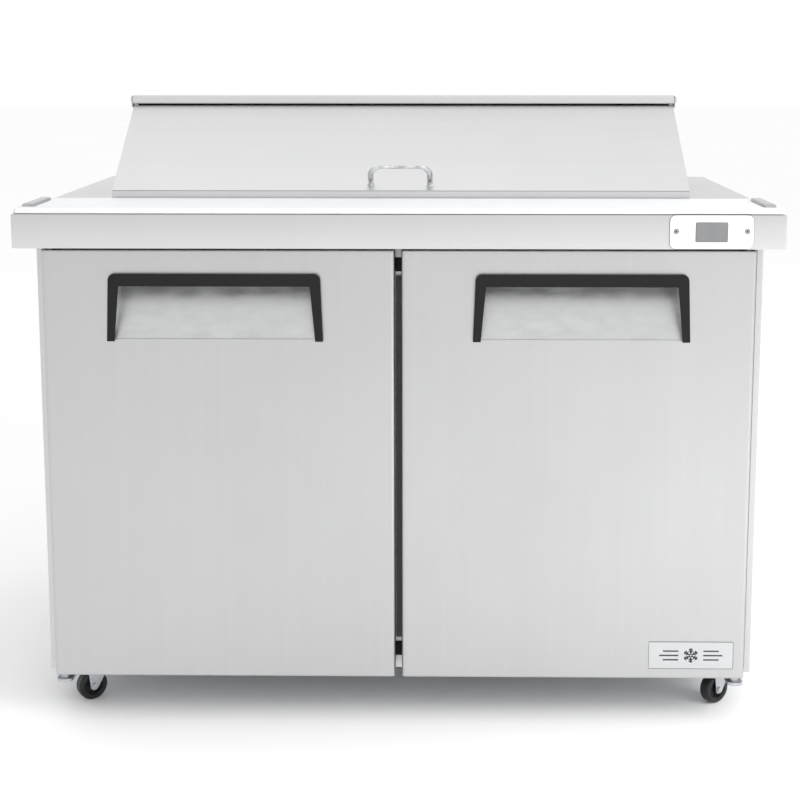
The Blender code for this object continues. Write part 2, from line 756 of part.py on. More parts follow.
def make_door(side, label):
    """A folded door skin with its pocket and pin holes, its liner, gasket and handle."""
    prefix = "door_" + label
    origin = (side * PIN_X, PIN_Y, 0)
    xs = sorted((side * DOOR_INNER, side * DOOR_OUTER))
    back = DOOR_BACK - SHEET - GAP
    bm = box_mesh((xs[0], DOOR_FRONT, DOOR_BOTTOM), (xs[1], back, DOOR_TOP))

    bevel_where(bm, front_upright(DOOR_FRONT), DOOR_EDGE, 4)
    panel = add_object(prefix + "_panel", bm, "steel", origin, smooth=True)
    hollow = box_mesh(
        (xs[0] + SHEET, DOOR_FRONT + SHEET, DOOR_BOTTOM + SHEET),
        (xs[1] - SHEET, back + 0.01, DOOR_TOP - SHEET),
    )
    bevel_where(hollow, front_upright(DOOR_FRONT + SHEET), DOOR_EDGE - SHEET, 4)
    cut(panel, add_object("door_hollow", hollow))
    cut(panel, add_object("pocket_hole", wedge_mesh(SHEET + GAP, side, 0.01)))
    for z in (DOOR_BOTTOM - 0.01, DOOR_TOP - 0.01):
        cut(panel, rod("pin_hole", PIN_RADIUS + 0.001, (side * PIN_X, PIN_Y, z), 0.02, "Z", 12))

    liner = box(
        prefix + "_liner",
        (xs[0] + 0.0008, DOOR_BACK - SHEET, DOOR_BOTTOM + 0.0008),
        (xs[1] - 0.0008, DOOR_BACK, DOOR_TOP - 0.0008),
        "liner_plastic",
        origin,
    )
    inset = GASKET_WIDTH + 0.006
    low_x, high_x = sorted((side * (GASKET_INNER_X + inset), side * (GASKET_OUTER_X - inset)))
    emboss_low = (low_x, DOOR_BACK - 0.001, GASKET_Z[0] + inset)
    emboss_high = (high_x, DOOR_BACK + 0.003, GASKET_Z[1] - inset)
    join(liner, box("liner_emboss", emboss_low, emboss_high))
    make_gasket(side, prefix, origin)
    make_handle(side, prefix, origin)


def make_gasket(side, prefix, origin):
    """A flat ring that seals on the front frame."""
    xs = sorted((side * GASKET_INNER_X, side * GASKET_OUTER_X))
    front = DOOR_BACK + GAP
    back = BODY_FRONT - GAP
    low, high = (xs[0], front, GASKET_Z[0]), (xs[1], back, GASKET_Z[1])
    gasket = box(prefix + "_gasket", low, high, "gasket_rubber", origin)
    wide = GASKET_WIDTH
    cut(
        gasket,
        box(
            "gasket_hole",
            (xs[0] + wide, front - 0.01, GASKET_Z[0] + wide),
            (xs[1] - wide, back + 0.01, GASKET_Z[1] - wide),
        ),
    )


def make_handle(side, prefix, origin):
    """The sheet pocket that the fingers enter, and the black trim around its rim."""
    pocket = add_object(prefix + "_handle_pocket", wedge_mesh(SHEET, side, 0.0), "satin_steel", origin)
    cut(pocket, add_object("pocket_hollow", wedge_mesh(0.0, side, 0.01)))

    middle = side * HANDLE_X
    inside = HANDLE_TOP - HANDLE_BAR
    right_half = [
        (HANDLE_HALF_TOP, HANDLE_TOP),
        (HANDLE_HALF_BOTTOM, HANDLE_BOTTOM),
        (HANDLE_HALF_BOTTOM - 0.0100, HANDLE_BOTTOM),
        (HANDLE_HALF_TOP - 0.0140, inside),
    ]
    left_half = [(-x, z) for x, z in right_half]
    outline = [(middle + x, z) for x, z in right_half + left_half[::-1]]
    face = DOOR_FRONT - HANDLE_PROUD
    bm = prism_mesh(outline, "Y", face, DOOR_FRONT - GAP)

    def outer_corner(edge):
        return edge_runs(edge, 1) and abs(edge.verts[0].co.z - HANDLE_TOP) < 1e-5

    bevel_where(bm, outer_corner, 0.008, 3)

    def front_rim(edge):
        return all(vert.co.y < face + 0.0001 for vert in edge.verts)

    bevel_where(bm, front_rim, 0.0018, 2)
    add_object(prefix + "_handle_trim", bm, "black_plastic", origin, smooth=True)


def make_door_hinges(side, label):
    """A flat lower bracket with its pin up, and an upper angle bracket with its pin down."""
    x = side * PIN_X
    low_z, high_z = LOWER_BRACKET_Z
    length = (LOWER_BRACKET_BACK - BRACKET_FRONT) / 2
    outline = rounded_outline((x, BRACKET_FRONT + length), (BRACKET_HALF, length), 0.010)
    low = prism("hinge_bracket_lower_" + label, outline, "Z", low_z, high_z, "zinc")
    start = (x, PIN_Y, high_z - 0.0006)
    join(low, rod("lower_bush", 0.0070, start, 0.0088, "Z", 16))
    join(low, rod("lower_pin", PIN_RADIUS, start, 0.0190, "Z", 12))

    low_z, high_z = UPPER_BRACKET_Z
    back = BODY_FRONT - GAP
    length = (back - BRACKET_FRONT) / 2
    outline = rounded_outline((x, BRACKET_FRONT + length), (BRACKET_HALF, length), 0.004)
    top = prism("hinge_bracket_upper_" + label, outline, "Z", low_z, high_z, "zinc")
    tab = BRACKET_HALF - 0.001
    join(top, box("bracket_tab", (x - tab, back - 0.005, low_z + 0.001), (x + tab, back, BRACKET_TAB_TOP)))
    join(top, rod("upper_pin", PIN_RADIUS, (x, PIN_Y, 0.7830), 0.0125, "Z", 12))


def make_badge():
    """A bevelled plate on the right door's lower corner."""
    x, z = BADGE_MIDDLE
    wide, high = BADGE_HALF
    face = DOOR_FRONT - 0.0016
    bm = box_mesh((x - wide, face, z - high), (x + wide, DOOR_FRONT - GAP, z + high))
    bevel_where(bm, lambda edge: all(v.co.y < face + 0.0001 for v in edge.verts), 0.0009, 1)
    add_object("badge_plate", bm, "aluminium", (PIN_X, PIN_Y, 0))


# ---------------------------------------------------------------- controls
def make_controls():
    """The plate on the fascia with its screws and window, and the controller behind the fascia."""
    middle = (PLATE_X, PLATE_Z)
    back = TOP_FRONT - GAP
    outline = rounded_outline(middle, PLATE_HALF, PLATE_RADIUS, 4)
    plate = prism("control_plate", outline, "Y", PLATE_FRONT, back, "control_white")
    half = DISPLAY_HALF
    for side in (-1, 1):
        start = (PLATE_X + side * PLATE_SCREW_X, PLATE_SCREW_FRONT, PLATE_Z)
        join(plate, rod("screw_head", 0.0045, start, 0.0014, "Y", 16))
    window_hole = rounded_outline(middle, (half[0] + GAP, half[1] + GAP), 0.0014, 2)
    cut(plate, prism("window_hole", window_hole, "Y", PLATE_FRONT - 0.01, back + 0.01))
    window = rounded_outline(middle, half, 0.001, 2)
    prism("display_window", window, "Y", PLATE_FRONT + 0.0002, back, "display")
    half_x = 0.040
    low = (PLATE_X - half_x, TOP_FRONT + SHEET + GAP, FASCIA_Z + 0.005)
    controller = box_mesh(low, (PLATE_X + half_x, BODY_FRONT - 0.012, TOP_Z - 0.006))
    bevel_where(controller, lambda edge: edge_runs(edge, 1), 0.003, 2)
    add_object("controller_box", controller, "grey_plastic")


# ---------------------------------------------------------------- shelves
def make_shelf(side, label):
    """A wire shelf: a rim, front-to-back wires and two cross wires, in one flat lattice."""
    xs = sorted((side * SHELF_X[0], side * SHELF_X[1]))
    ys = SHELF_Y
    z = SHELF_Z
    rim = 0.006
    thin = rim / 2
    shelf = box("shelf_" + label, (xs[0], ys[0], z - thin), (xs[1], ys[1], z + thin), "white_plastic")
    wires = 15
    wire = 0.004
    cells = wires + 1
    width = (xs[1] - xs[0] - 2 * rim - wires * wire) / cells
    rows = 3
    depth = (ys[1] - ys[0] - 2 * rim - (rows - 1) * wire) / rows
    cutter = bmesh.new()
    for row in range(rows):
        y = ys[0] + rim + row * (depth + wire)
        for cell in range(cells):
            x = xs[0] + rim + cell * (width + wire)
            merge(cutter, box_mesh((x, y, z - 0.01), (x + width, y + depth, z + 0.01)))
    cut(shelf, add_object("shelf_cells", cutter))


# ---------------------------------------------------------------- refrigeration
def make_evaporator():
    """A finned coil in a housing on the cavity's upper back wall, with a fan in its front."""
    lo, hi = (-0.300, 0.2320, 0.450), (0.300, REAR_Y - 0.001, 0.700)
    coil = box("evaporator", lo, hi, "aluminium")
    fins = bmesh.new()
    count = 14
    pitch = (hi[0] - lo[0] - 0.02) / count
    for i in range(count):
        x = lo[0] + 0.012 + i * pitch
        low = (x, lo[1] - 0.01, lo[2] + 0.012)
        merge(fins, box_mesh(low, (x + pitch * 0.55, lo[1] + 0.05, hi[2] - 0.012)))
    cut(coil, add_object("fin_gaps", fins))
    make_fan("evaporator_fan", (0.0, 0.2195, 0.575), "Y", 0.085, 0.018)


def make_fan(name, middle, axis, radius, depth):
    """A hub with five pitched blades, turning about its own axis."""
    hub_radius = radius * 0.28
    bm = turned_mesh([(hub_radius, -depth / 2), (hub_radius, depth / 2)], 12)
    place = Matrix.Translation(middle) @ ALONG[axis]
    fan = add_object(name, moved(bm, place), "grey_plastic", middle, smooth=True)
    for i in range(5):
        inner = hub_radius * 0.8
        blade = box_mesh((inner, -radius * 0.30, -0.0008), (radius, radius * 0.30, 0.0008))
        pitch = Matrix.Rotation(math.radians(22), 4, "X")
        turn = Matrix.Rotation(2 * math.pi * i / 5, 4, "Z")
        join(fan, add_object("fan_blade", moved(blade, place @ turn @ pitch)))


def make_compressor():
    """A sealed can on its mounting plate."""
    x, y = COMPRESSOR_X, COMPRESSOR_Y
    base = BODY_Z + SHEET + GAP
    profile = [
        (0.030, base + 0.012),
        (0.058, base + 0.016),
        (0.066, base + 0.035),
        (0.066, base + 0.120),
        (0.060, base + 0.150),
        (0.038, base + 0.168),
        (0.012, base + COMPRESSOR_HEIGHT),
    ]
    bm = moved(turned_mesh(profile, 20), Matrix.Translation((x, y, 0)))
    can = add_object("compressor", bm, "compressor_paint", smooth=True)
    join(can, box("mounting_plate", (x - 0.095, y - 0.055, base), (x + 0.095, y + 0.055, base + 0.014)))


def make_discharge_pipe():
    """From the top of the compressor up, round a bend and level into the condenser's upper header."""
    bend = 0.020
    bottom = BODY_Z + SHEET + GAP + COMPRESSOR_HEIGHT + GAP
    x, y = COMPRESSOR_X, COMPRESSOR_Y
    centre = (x + bend, PIPE_Z - bend)
    points = [(x, bottom), (x, centre[1])]
    for degrees in (22.5, 45.0, 67.5, 90.0):
        turn = math.radians(degrees)
        points.append((centre[0] - bend * math.cos(turn), centre[1] + bend * math.sin(turn)))
    points.append((CONDENSER_X[0] - GAP, PIPE_Z))
    curve = bpy.data.curves.new("discharge_pipe", "CURVE")
    curve.dimensions = "3D"
    curve.bevel_depth = PIPE_RADIUS
    curve.bevel_resolution = 2
    curve.use_fill_caps = True
    spline = curve.splines.new("POLY")
    spline.points.add(len(points) - 1)
    for point, (along, z) in zip(spline.points, points):
        point.co = (along, y, z, 1.0)
    curve.materials.append(slot_material("discharge_pipe", "copper"))
    pipe = bpy.data.objects.new("discharge_pipe", curve)
    bpy.context.scene.collection.objects.link(pipe)


def make_condenser():
    """A finned coil across the machine compartment, with its fan on the left."""
    base = BODY_Z + SHEET + GAP
    lo = (CONDENSER_X[0], CONDENSER_Y[0], base)
    hi = (CONDENSER_X[1], CONDENSER_Y[1], base + CONDENSER_HEIGHT)
    coil = box("condenser", lo, hi, "coil_paint")
    gaps = bmesh.new()
    count = 10
    pitch = (hi[2] - lo[2] - 0.02) / count
    for i in range(count):
        z = lo[2] + 0.012 + i * pitch
        low = (lo[0] - 0.01, lo[1] + 0.010, z)
        merge(gaps, box_mesh(low, (lo[0] + 0.055, hi[1] - 0.010, z + pitch * 0.55)))
    cut(coil, add_object("condenser_gaps", gaps))
    middle = (CONDENSER_X[0] - 0.040, (CONDENSER_Y[0] + CONDENSER_Y[1]) / 2, base + CONDENSER_HEIGHT / 2)
    make_fan("condenser_fan", middle, "X", 0.070, 0.024)


def make_rear_fittings():
    """Louvred grille over the machine compartment, and the cord gland."""
    front = BODY_BACK + GAP
    low, high = (-GRILLE_HALF, front, GRILLE_Z[0]), (GRILLE_HALF, front + SHEET, GRILLE_Z[1])
    grille = box("rear_grille", low, high, "steel")
    slots = bmesh.new()
    columns, rows = 4, 9
    slot_width, slot_height = 0.230, 0.010
    column_pitch, row_pitch = 0.250, 0.0262
    for column in range(columns):
        x = -GRILLE_HALF + 0.025 + column * column_pitch
        for row in range(rows):
            z = GRILLE_Z[0] + 0.023 + row * row_pitch
            merge(slots, box_mesh((x, front - 0.01, z), (x + slot_width, front + 0.01, z + slot_height)))
    cut(grille, add_object("grille_slots", slots))

    inside = BODY_BACK - 0.007
    stem, flange, nose, bore_radius = 0.0088, 0.0150, 0.0095, 0.0045
    profile = [(stem, inside), (stem, front), (flange, front), (flange, front + 0.004), (nose, GLAND_BACK)]
    bore = [(bore_radius, GLAND_BACK), (bore_radius, inside)]
    bm = turned_mesh(profile + bore, 12, closed=True)
    place = Matrix.Translation((GLAND_X, 0, GLAND_Z)) @ ALONG["Y"]
    add_object("cord_gland", moved(bm, place), "black_plastic", smooth=True)


# ---------------------------------------------------------------- casters
def make_caster(label, x, y):
    """A swivel fork with its axle, and the wheel that turns on it."""
    place = Matrix.Translation((x, y, 0)) @ Matrix.Rotation(SWIVEL_REST, 4, "Z")
    step = math.pi / 20
    rim = WHEEL_RADIUS / math.cos(step)
    half = WHEEL_HALF
    one_side = [
        (AXLE_RADIUS + 0.0006, half),
        (0.0090, half),
        (0.0105, half - 0.003),
        (0.0165, half - 0.003),
        (0.0180, half - 0.0005),
        (rim - 0.0030, half - 0.0005),
        (rim, half - 0.0035),
    ]
    profile = one_side + [(radius, -height) for radius, height in one_side[::-1]]
    bm = turned_mesh(profile, 20, closed=True, half_step=True)
    wheel_place = Matrix.Translation((-TRAIL, 0, WHEEL_RADIUS)) @ ALONG["Y"]
    wheel_origin = place @ Vector((-TRAIL, 0, WHEEL_RADIUS))
    wheel = moved(bm, place @ wheel_place)
    add_object("caster_wheel_" + label, wheel, "wheel_rubber", wheel_origin, smooth=True)

    head = turned_mesh([(0.0190, 0.0600), (0.0210, 0.0615), (0.0210, 0.0650), (0.0180, 0.0665)], 16)
    fork = add_object("caster_fork_" + label, moved(head, place), "zinc", (x, y, 0), smooth=True)
    crown = prism_mesh(rounded_outline((-0.006, 0), (0.0200, 0.0134), 0.006, 2), "Z", 0.0545, 0.0605)
    join(fork, add_object("fork_crown", moved(crown, place)))
    leg = [
        (-0.0245, 0.0560),
        (0.0130, 0.0560),
        (-TRAIL + 0.0068, WHEEL_RADIUS - 0.003),
        (-TRAIL + 0.0030, WHEEL_RADIUS - 0.0068),
        (-TRAIL - 0.0030, WHEEL_RADIUS - 0.0068),
        (-TRAIL - 0.0068, WHEEL_RADIUS - 0.003),
    ]
    for side in (-1, 1):
        ends = sorted((side * 0.0110, side * 0.0130))
        join(fork, add_object("fork_leg", moved(prism_mesh(leg, "Y", *ends), place)))
    axle = [(0.0050, -0.0155), (0.0050, -0.0128), (AXLE_RADIUS, -0.0128)]
    axle += [(radius, -height) for radius, height in axle[::-1]]
    bm = moved(turned_mesh(axle, 12), place @ wheel_place)
    join(fork, add_object("fork_axle", bm))


# ---------------------------------------------------------------- whole table
def build():
    clear_scene()
    make_side_panel("side_panel_left", -1)
    make_side_panel("side_panel_right", 1)
    make_base_pan()
    make_back_panel()
    make_liner_and_foam()
    make_front_frame()
    make_worktop()
    make_pan_rail()
    for index in range(PAN_COUNT):
        make_pan(index)
    make_board()
    make_hood_cover()
    make_lid()
    make_lid_handle()
    for side, label in ((-1, "left"), (1, "right")):
        make_door(side, label)
        make_door_hinges(side, label)
        make_shelf(side, label)
        x = side * CASTER_SPREAD + CASTER_SHIFT
        make_caster("front_" + label, x, CASTER_Y[0])
        make_caster("rear_" + label, x, CASTER_Y[1])
    make_badge()
    make_controls()
    make_evaporator()
    make_compressor()
    make_condenser()
    make_discharge_pipe()
    make_rear_fittings()


build()
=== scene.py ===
"""The looks of the sandwich prep table: finishes, fine pieces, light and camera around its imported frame."""

import json
import math

import bmesh
import bpy
from mathutils import Matrix, Vector


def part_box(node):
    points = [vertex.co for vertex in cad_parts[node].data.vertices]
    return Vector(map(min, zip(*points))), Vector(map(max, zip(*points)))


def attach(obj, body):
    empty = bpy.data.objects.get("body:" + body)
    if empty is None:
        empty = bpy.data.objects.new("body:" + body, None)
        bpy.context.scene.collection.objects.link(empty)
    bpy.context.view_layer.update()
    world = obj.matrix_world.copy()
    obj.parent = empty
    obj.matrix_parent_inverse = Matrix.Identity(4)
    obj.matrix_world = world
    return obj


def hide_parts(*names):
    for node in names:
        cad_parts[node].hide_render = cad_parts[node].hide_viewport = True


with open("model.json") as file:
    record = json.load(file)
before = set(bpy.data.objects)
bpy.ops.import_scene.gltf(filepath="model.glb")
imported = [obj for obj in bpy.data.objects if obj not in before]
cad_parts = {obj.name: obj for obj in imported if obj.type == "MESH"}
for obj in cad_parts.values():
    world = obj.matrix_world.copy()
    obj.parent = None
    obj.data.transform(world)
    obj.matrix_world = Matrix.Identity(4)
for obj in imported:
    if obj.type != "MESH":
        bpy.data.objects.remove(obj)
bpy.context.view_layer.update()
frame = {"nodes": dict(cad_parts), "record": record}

FRONT = Matrix.Rotation(math.radians(90), 4, "X")  # turns a shape made along +Z to face -Y
BACK = Matrix.Rotation(math.radians(-90), 4, "X")
RIGHT = Matrix.Rotation(math.radians(90), 4, "Y")
DOWN = Matrix.Rotation(math.radians(180), 4, "X")


# ---------------------------------------- finishes
NOISE_ROUGHNESS = 0.55  # how strong each noise's finer octaves are
BEVEL_SAMPLES = 3
EDGE_MATCH, FLAT_MATCH = 0.80, 0.995  # how far a rounded normal agrees with the face's, at an edge and off it
MIX_FACTOR, MIX_FROM, MIX_TO, MIX_RESULT = 0, 6, 7, 2  # sockets of a mix node that mixes colours


class Finish:
    """One material: a principled surface whose look comes from a few noises over the object's own space."""

    def __init__(self, name, colour, metallic, roughness):
        self.material = bpy.data.materials.new(name)
        self.material.use_nodes = True
        self.tree = self.material.node_tree
        self.surface = self.tree.nodes["Principled BSDF"]
        self.surface.inputs["Metallic"].default_value = metallic
        self.colour = colour
        self.roughness = roughness
        self.place = self.tree.nodes.new("ShaderNodeTexCoord").outputs["Object"]
        self.tone = None
        self.gloss = None
        self.relief = None

    def node(self, kind, **settings):
        made = self.tree.nodes.new(kind)
        for key, value in settings.items():
            setattr(made, key, value)
        return made

    def join(self, source, node, socket):
        self.tree.links.new(source, node.inputs[socket])

    def stretched(self, scale):
        """The place in the object's space, scaled by one number or by a number for each axis."""
        mapping = self.node("ShaderNodeMapping")
        mapping.inputs["Scale"].default_value = scale if hasattr(scale, "__len__") else [scale] * 3
        self.join(self.place, mapping, "Vector")
        return mapping.outputs["Vector"]

    def noise(self, scale, detail=3.0):
        """A noise whose features are 1/scale metres long."""
        made = self.node("ShaderNodeTexNoise")
        made.inputs["Scale"].default_value = 1.0
        made.inputs["Detail"].default_value = detail
        made.inputs["Roughness"].default_value = NOISE_ROUGHNESS
        self.join(self.stretched(scale), made, "Vector")
        return made.outputs["Fac"]

    def cells(self, scale, output="Distance", feature="F1"):
        made = self.node("ShaderNodeTexVoronoi", feature=feature)
        made.inputs["Scale"].default_value = 1.0
        self.join(self.stretched(scale), made, "Vector")
        return made.outputs[output]

    def height(self):
        """How high a point lies, in metres."""
        split = self.node("ShaderNodeSeparateXYZ")
        self.join(self.place, split, "Vector")
        return split.outputs["Z"]

    def remap(self, fac, low, high, start=0.3, end=0.7):
        made = self.node("ShaderNodeMapRange")
        self.join(fac, made, "Value")
        for socket, value in (("From Min", start), ("From Max", end), ("To Min", low), ("To Max", high)):
            made.inputs[socket].default_value = value
        return made.outputs["Result"]

    def shade(self, fac, low, high, start=0.3, end=0.7):
        """Multiplies the colour by a factor that runs from low to high with fac."""
        factor = self.remap(fac, low, high, start, end)
        made = self.node("ShaderNodeVectorMath", operation="SCALE")
        if self.tone is None:
            made.inputs[0].default_value = self.colour
        else:
            self.join(self.tone, made, 0)
        self.join(factor, made, "Scale")
        self.tone = made.outputs[0]

    def blend_in(self, fac, colour, strength, start=0.3, end=0.7):
        """Mixes another colour in where fac is high."""
        made = self.node("ShaderNodeMix", data_type="RGBA")
        self.join(self.remap(fac, 0.0, strength, start, end), made, MIX_FACTOR)
        if self.tone is None:
            made.inputs[MIX_FROM].default_value = (*self.colour, 1)
        else:
            self.join(self.tone, made, MIX_FROM)
        made.inputs[MIX_TO].default_value = (*colour, 1)
        self.tone = made.outputs[MIX_RESULT]

    def vary_gloss(self, fac, spread, start=0.3, end=0.7):
        """Moves the roughness by plus or minus spread."""
        change = self.remap(fac, -spread, spread, start, end)
        made = self.node("ShaderNodeMath", operation="ADD", use_clamp=True)
        if self.gloss is None:
            made.inputs[0].default_value = self.roughness
        else:
            self.join(self.gloss, made, 0)
        self.join(change, made, 1)
        self.gloss = made.outputs[0]

    def raise_by(self, fac, depth):
        """Adds relief: a bump of that depth in metres."""
        made = self.node("ShaderNodeBump")
        made.inputs["Strength"].default_value = 1.0
        made.inputs["Distance"].default_value = depth
        self.join(fac, made, "Height")
        if self.relief is not None:
            self.join(self.relief, made, "Normal")
        self.relief = made.outputs["Normal"]

    def soften_edges(self, radius):
        """Rounds the shading over edges by that radius."""
        made = self.node("ShaderNodeBevel", samples=BEVEL_SAMPLES)
        made.inputs["Radius"].default_value = radius
        self.relief = made.outputs["Normal"]

    def edge_wear_and_highlight(self, radius, colour, strength):
        """Shows another colour along the edges, broken up by a noise: wear on most finishes, a painted
        highlight on the cutting board.
        """
        bevel = self.node("ShaderNodeBevel", samples=BEVEL_SAMPLES)
        bevel.inputs["Radius"].default_value = radius
        flat = self.node("ShaderNodeNewGeometry")
        match = self.node("ShaderNodeVectorMath", operation="DOT_PRODUCT")
        self.join(bevel.outputs["Normal"], match, 0)
        self.join(flat.outputs["Normal"], match, 1)
        edge = self.remap(match.outputs["Value"], 1.0, 0.0, EDGE_MATCH, FLAT_MATCH)
        patchy = self.node("ShaderNodeMath", operation="MULTIPLY")
        self.join(edge, patchy, 0)
        self.join(self.remap(self.noise(60), 0.2, 1.0), patchy, 1)
        self.blend_in(patchy.outputs[0], colour, strength, 0.0, 1.0)

    def done(self):
        """Joins what was built up to the surface; a part that nothing varies stays a plain value."""
        inputs = self.surface.inputs
        inputs["Base Color"].default_value = (*self.colour, 1)
        inputs["Roughness"].default_value = self.roughness
        if self.tone is not None:
            self.join(self.tone, self.surface, "Base Color")
        if self.gloss is not None:
            self.join(self.gloss, self.surface, "Roughness")
        if self.relief is not None:
            self.join(self.relief, self.surface, "Normal")
        return self.material


GRAIN_ALONG, GRAIN_ACROSS = 3.0, 520.0  # brushed lines per metre, along the grain and across it
STREAK_ALONG, STREAK_ACROSS = 0.8, 70.0  # the broader streaks from rolling
SKIRT_DEPTH = 0.055  # height of the worktop's folded skirt
PAINTED_HEM_LIGHT, PAINTED_TOP_SHADE = 1.16, 0.97  # painted light on the skirt: paler towards its hem, darker towards its top


def brushed(name, colour, roughness, axis, depth=0.000012, skirt=None, rolled=0.0006):
    """Satin sheet steel: fine lines along one axis and soft stains. A skirt is given as its node's box, and
    gets painted light: paler towards its hem.
    """
    grain = [GRAIN_ACROSS] * 3
    grain["XYZ".index(axis)] = GRAIN_ALONG
    streak = [STREAK_ACROSS] * 3
    streak["XYZ".index(axis)] = STREAK_ALONG
    made = Finish(name, colour, 1.0, roughness)
    made.soften_edges(rolled)
    if skirt is not None:
        # painted light: the skirt's colour runs paler towards its hem and darker towards its top
        made.shade(made.height(), PAINTED_HEM_LIGHT, PAINTED_TOP_SHADE, skirt[0].z, skirt[0].z + SKIRT_DEPTH)
    lines = made.noise(grain, 2.0)
    made.shade(made.noise(streak), 0.990, 1.008)
    made.shade(made.noise(4, 2.0), 0.985, 1.012)
    made.vary_gloss(lines, 0.045)
    made.vary_gloss(made.noise(6), 0.02)
    made.raise_by(lines, depth)
    return made.done()


def mottled(name, colour, roughness):
    """Stainless that was pressed and wiped: clouded, without a clear grain."""
    made = Finish(name, colour, 1.0, roughness)
    made.soften_edges(0.0005)
    clouds = made.noise((28, 60, 60), 5.0)
    made.shade(clouds, 0.90, 1.05)
    made.vary_gloss(clouds, 0.08)
    made.raise_by(made.noise(420), 0.00003)
    made.raise_by(made.noise(30), 0.00025)
    return made.done()


def stucco(name, colour, roughness):
    """Embossed aluminium lining: a skin of small raised cells."""
    made = Finish(name, colour, 1.0, roughness)
    cells = made.cells(170, feature="SMOOTH_F1")
    made.shade(made.noise(6), 0.93, 1.03)
    made.vary_gloss(made.noise(40), 0.06)
    made.raise_by(cells, 0.00035)
    return made.done()


def plated(name, colour, roughness):
    """Plated or dull bare metal: fine crystals and a patchy sheen."""
    made = Finish(name, colour, 1.0, roughness)
    made.soften_edges(0.0004)
    made.shade(made.cells(240, "Color"), 0.86, 1.04, 0.0, 1.0)
    made.shade(made.noise(30), 0.92, 1.03)
    made.vary_gloss(made.noise(90), 0.08)
    made.raise_by(made.noise(600), 0.00001)
    return made.done()


def polished(name, colour, roughness):
    """Chrome: a clear mirror, faintly clouded, with faint wiping marks; broad darker and lighter patches in
    its colour are painted reflections.
    """
    made = Finish(name, colour, 1.0, roughness)
    marks = made.noise((60, 900, 900), 4.0)
    made.shade(made.noise(50), 0.96, 1.02)
    # painted reflections: broad patches, darker and lighter, in the chrome's colour
    made.shade(made.noise((70, 120, 120), 1.0), 0.62, 1.12, 0.35, 0.65)
    made.vary_gloss(marks, 0.03)
    made.raise_by(marks, 0.000004)
    return made.done()


def moulded(name, colour, roughness, grain=900.0, depth=0.00002, worn=None, sheen=0.5):
    """Moulded plastic or rubber: a fine spark-eroded grain, cloudy gloss, and edges rubbed paler."""
    made = Finish(name, colour, 0.0, roughness)
    made.surface.inputs["Specular IOR Level"].default_value = sheen
    made.soften_edges(0.0005)
    fine = made.noise(grain)
    made.shade(made.noise(35), 0.965, 1.03)
    made.vary_gloss(made.noise(60), 0.07)
    made.vary_gloss(fine, 0.04)
    made.raise_by(fine, depth)
    if worn is not None:
        made.edge_wear_and_highlight(0.0012, worn, 0.45)
    return made.done()


def cutting_plastic(name, colour, roughness):
    """White polyethylene: a sawn, slightly waxy face with faint knife marks both ways, and a painted
    highlight along its edges.
    """
    made = Finish(name, colour, 0.0, roughness)
    made.surface.inputs["Subsurface Weight"].default_value = 0.08
    made.surface.inputs["Subsurface Radius"].default_value = (0.006, 0.006, 0.006)
    made.surface.inputs["Specular IOR Level"].default_value = 0.2
    made.soften_edges(0.0008)
    fine = made.noise(700)
    made.shade(made.noise((7, 12, 12)), 0.975, 1.01)
    for scale in ((14, 900, 20), (900, 16, 20)):
        marks = made.noise(scale, 1.0)
        made.shade(marks, 1.0, 0.95, 0.68, 0.74)
        made.raise_by(marks, 0.00001)
    made.vary_gloss(made.noise(30), 0.06)
    made.raise_by(fine, 0.00002)
    # paler along the rounded edges: a painted highlight
    made.edge_wear_and_highlight(0.004, (0.96, 0.96, 0.96), 0.9)
    return made.done()


def painted(name, colour, roughness):
    """Sprayed enamel: orange peel, dust on it, and chipped edges."""
    made = Finish(name, colour, 0.0, roughness)
    made.soften_edges(0.0006)
    peel = made.noise(260, 1.0)
    made.shade(made.noise(20), 0.85, 1.10)
    made.blend_in(made.noise(11, 5.0), (0.16, 0.15, 0.14), 0.25, 0.45, 0.75)
    made.vary_gloss(made.noise(45), 0.08)
    made.raise_by(peel, 0.00004)
    made.edge_wear_and_highlight(0.0010, (0.30, 0.30, 0.31), 0.5)
    return made.done()


def foamed(name, colour, roughness):
    """Poured insulating foam: cut cells."""
    made = Finish(name, colour, 0.0, roughness)
    cells = made.cells(420)
    made.shade(made.noise(25), 0.9, 1.05)
    made.vary_gloss(cells, 0.05)
    made.raise_by(cells, 0.0003)
    return made.done()


def glazed(name, colour, roughness):
    """The display's tinted window under a clear coat."""
    made = Finish(name, colour, 0.0, roughness)
    made.surface.inputs["Coat Weight"].default_value = 0.6
    made.surface.inputs["Coat Roughness"].default_value = 0.06
    made.soften_edges(0.0004)
    made.shade(made.noise(60), 0.94, 1.05)
    made.vary_gloss(made.noise(150), 0.04)
    made.raise_by(made.noise(500), 0.000006)
    return made.done()


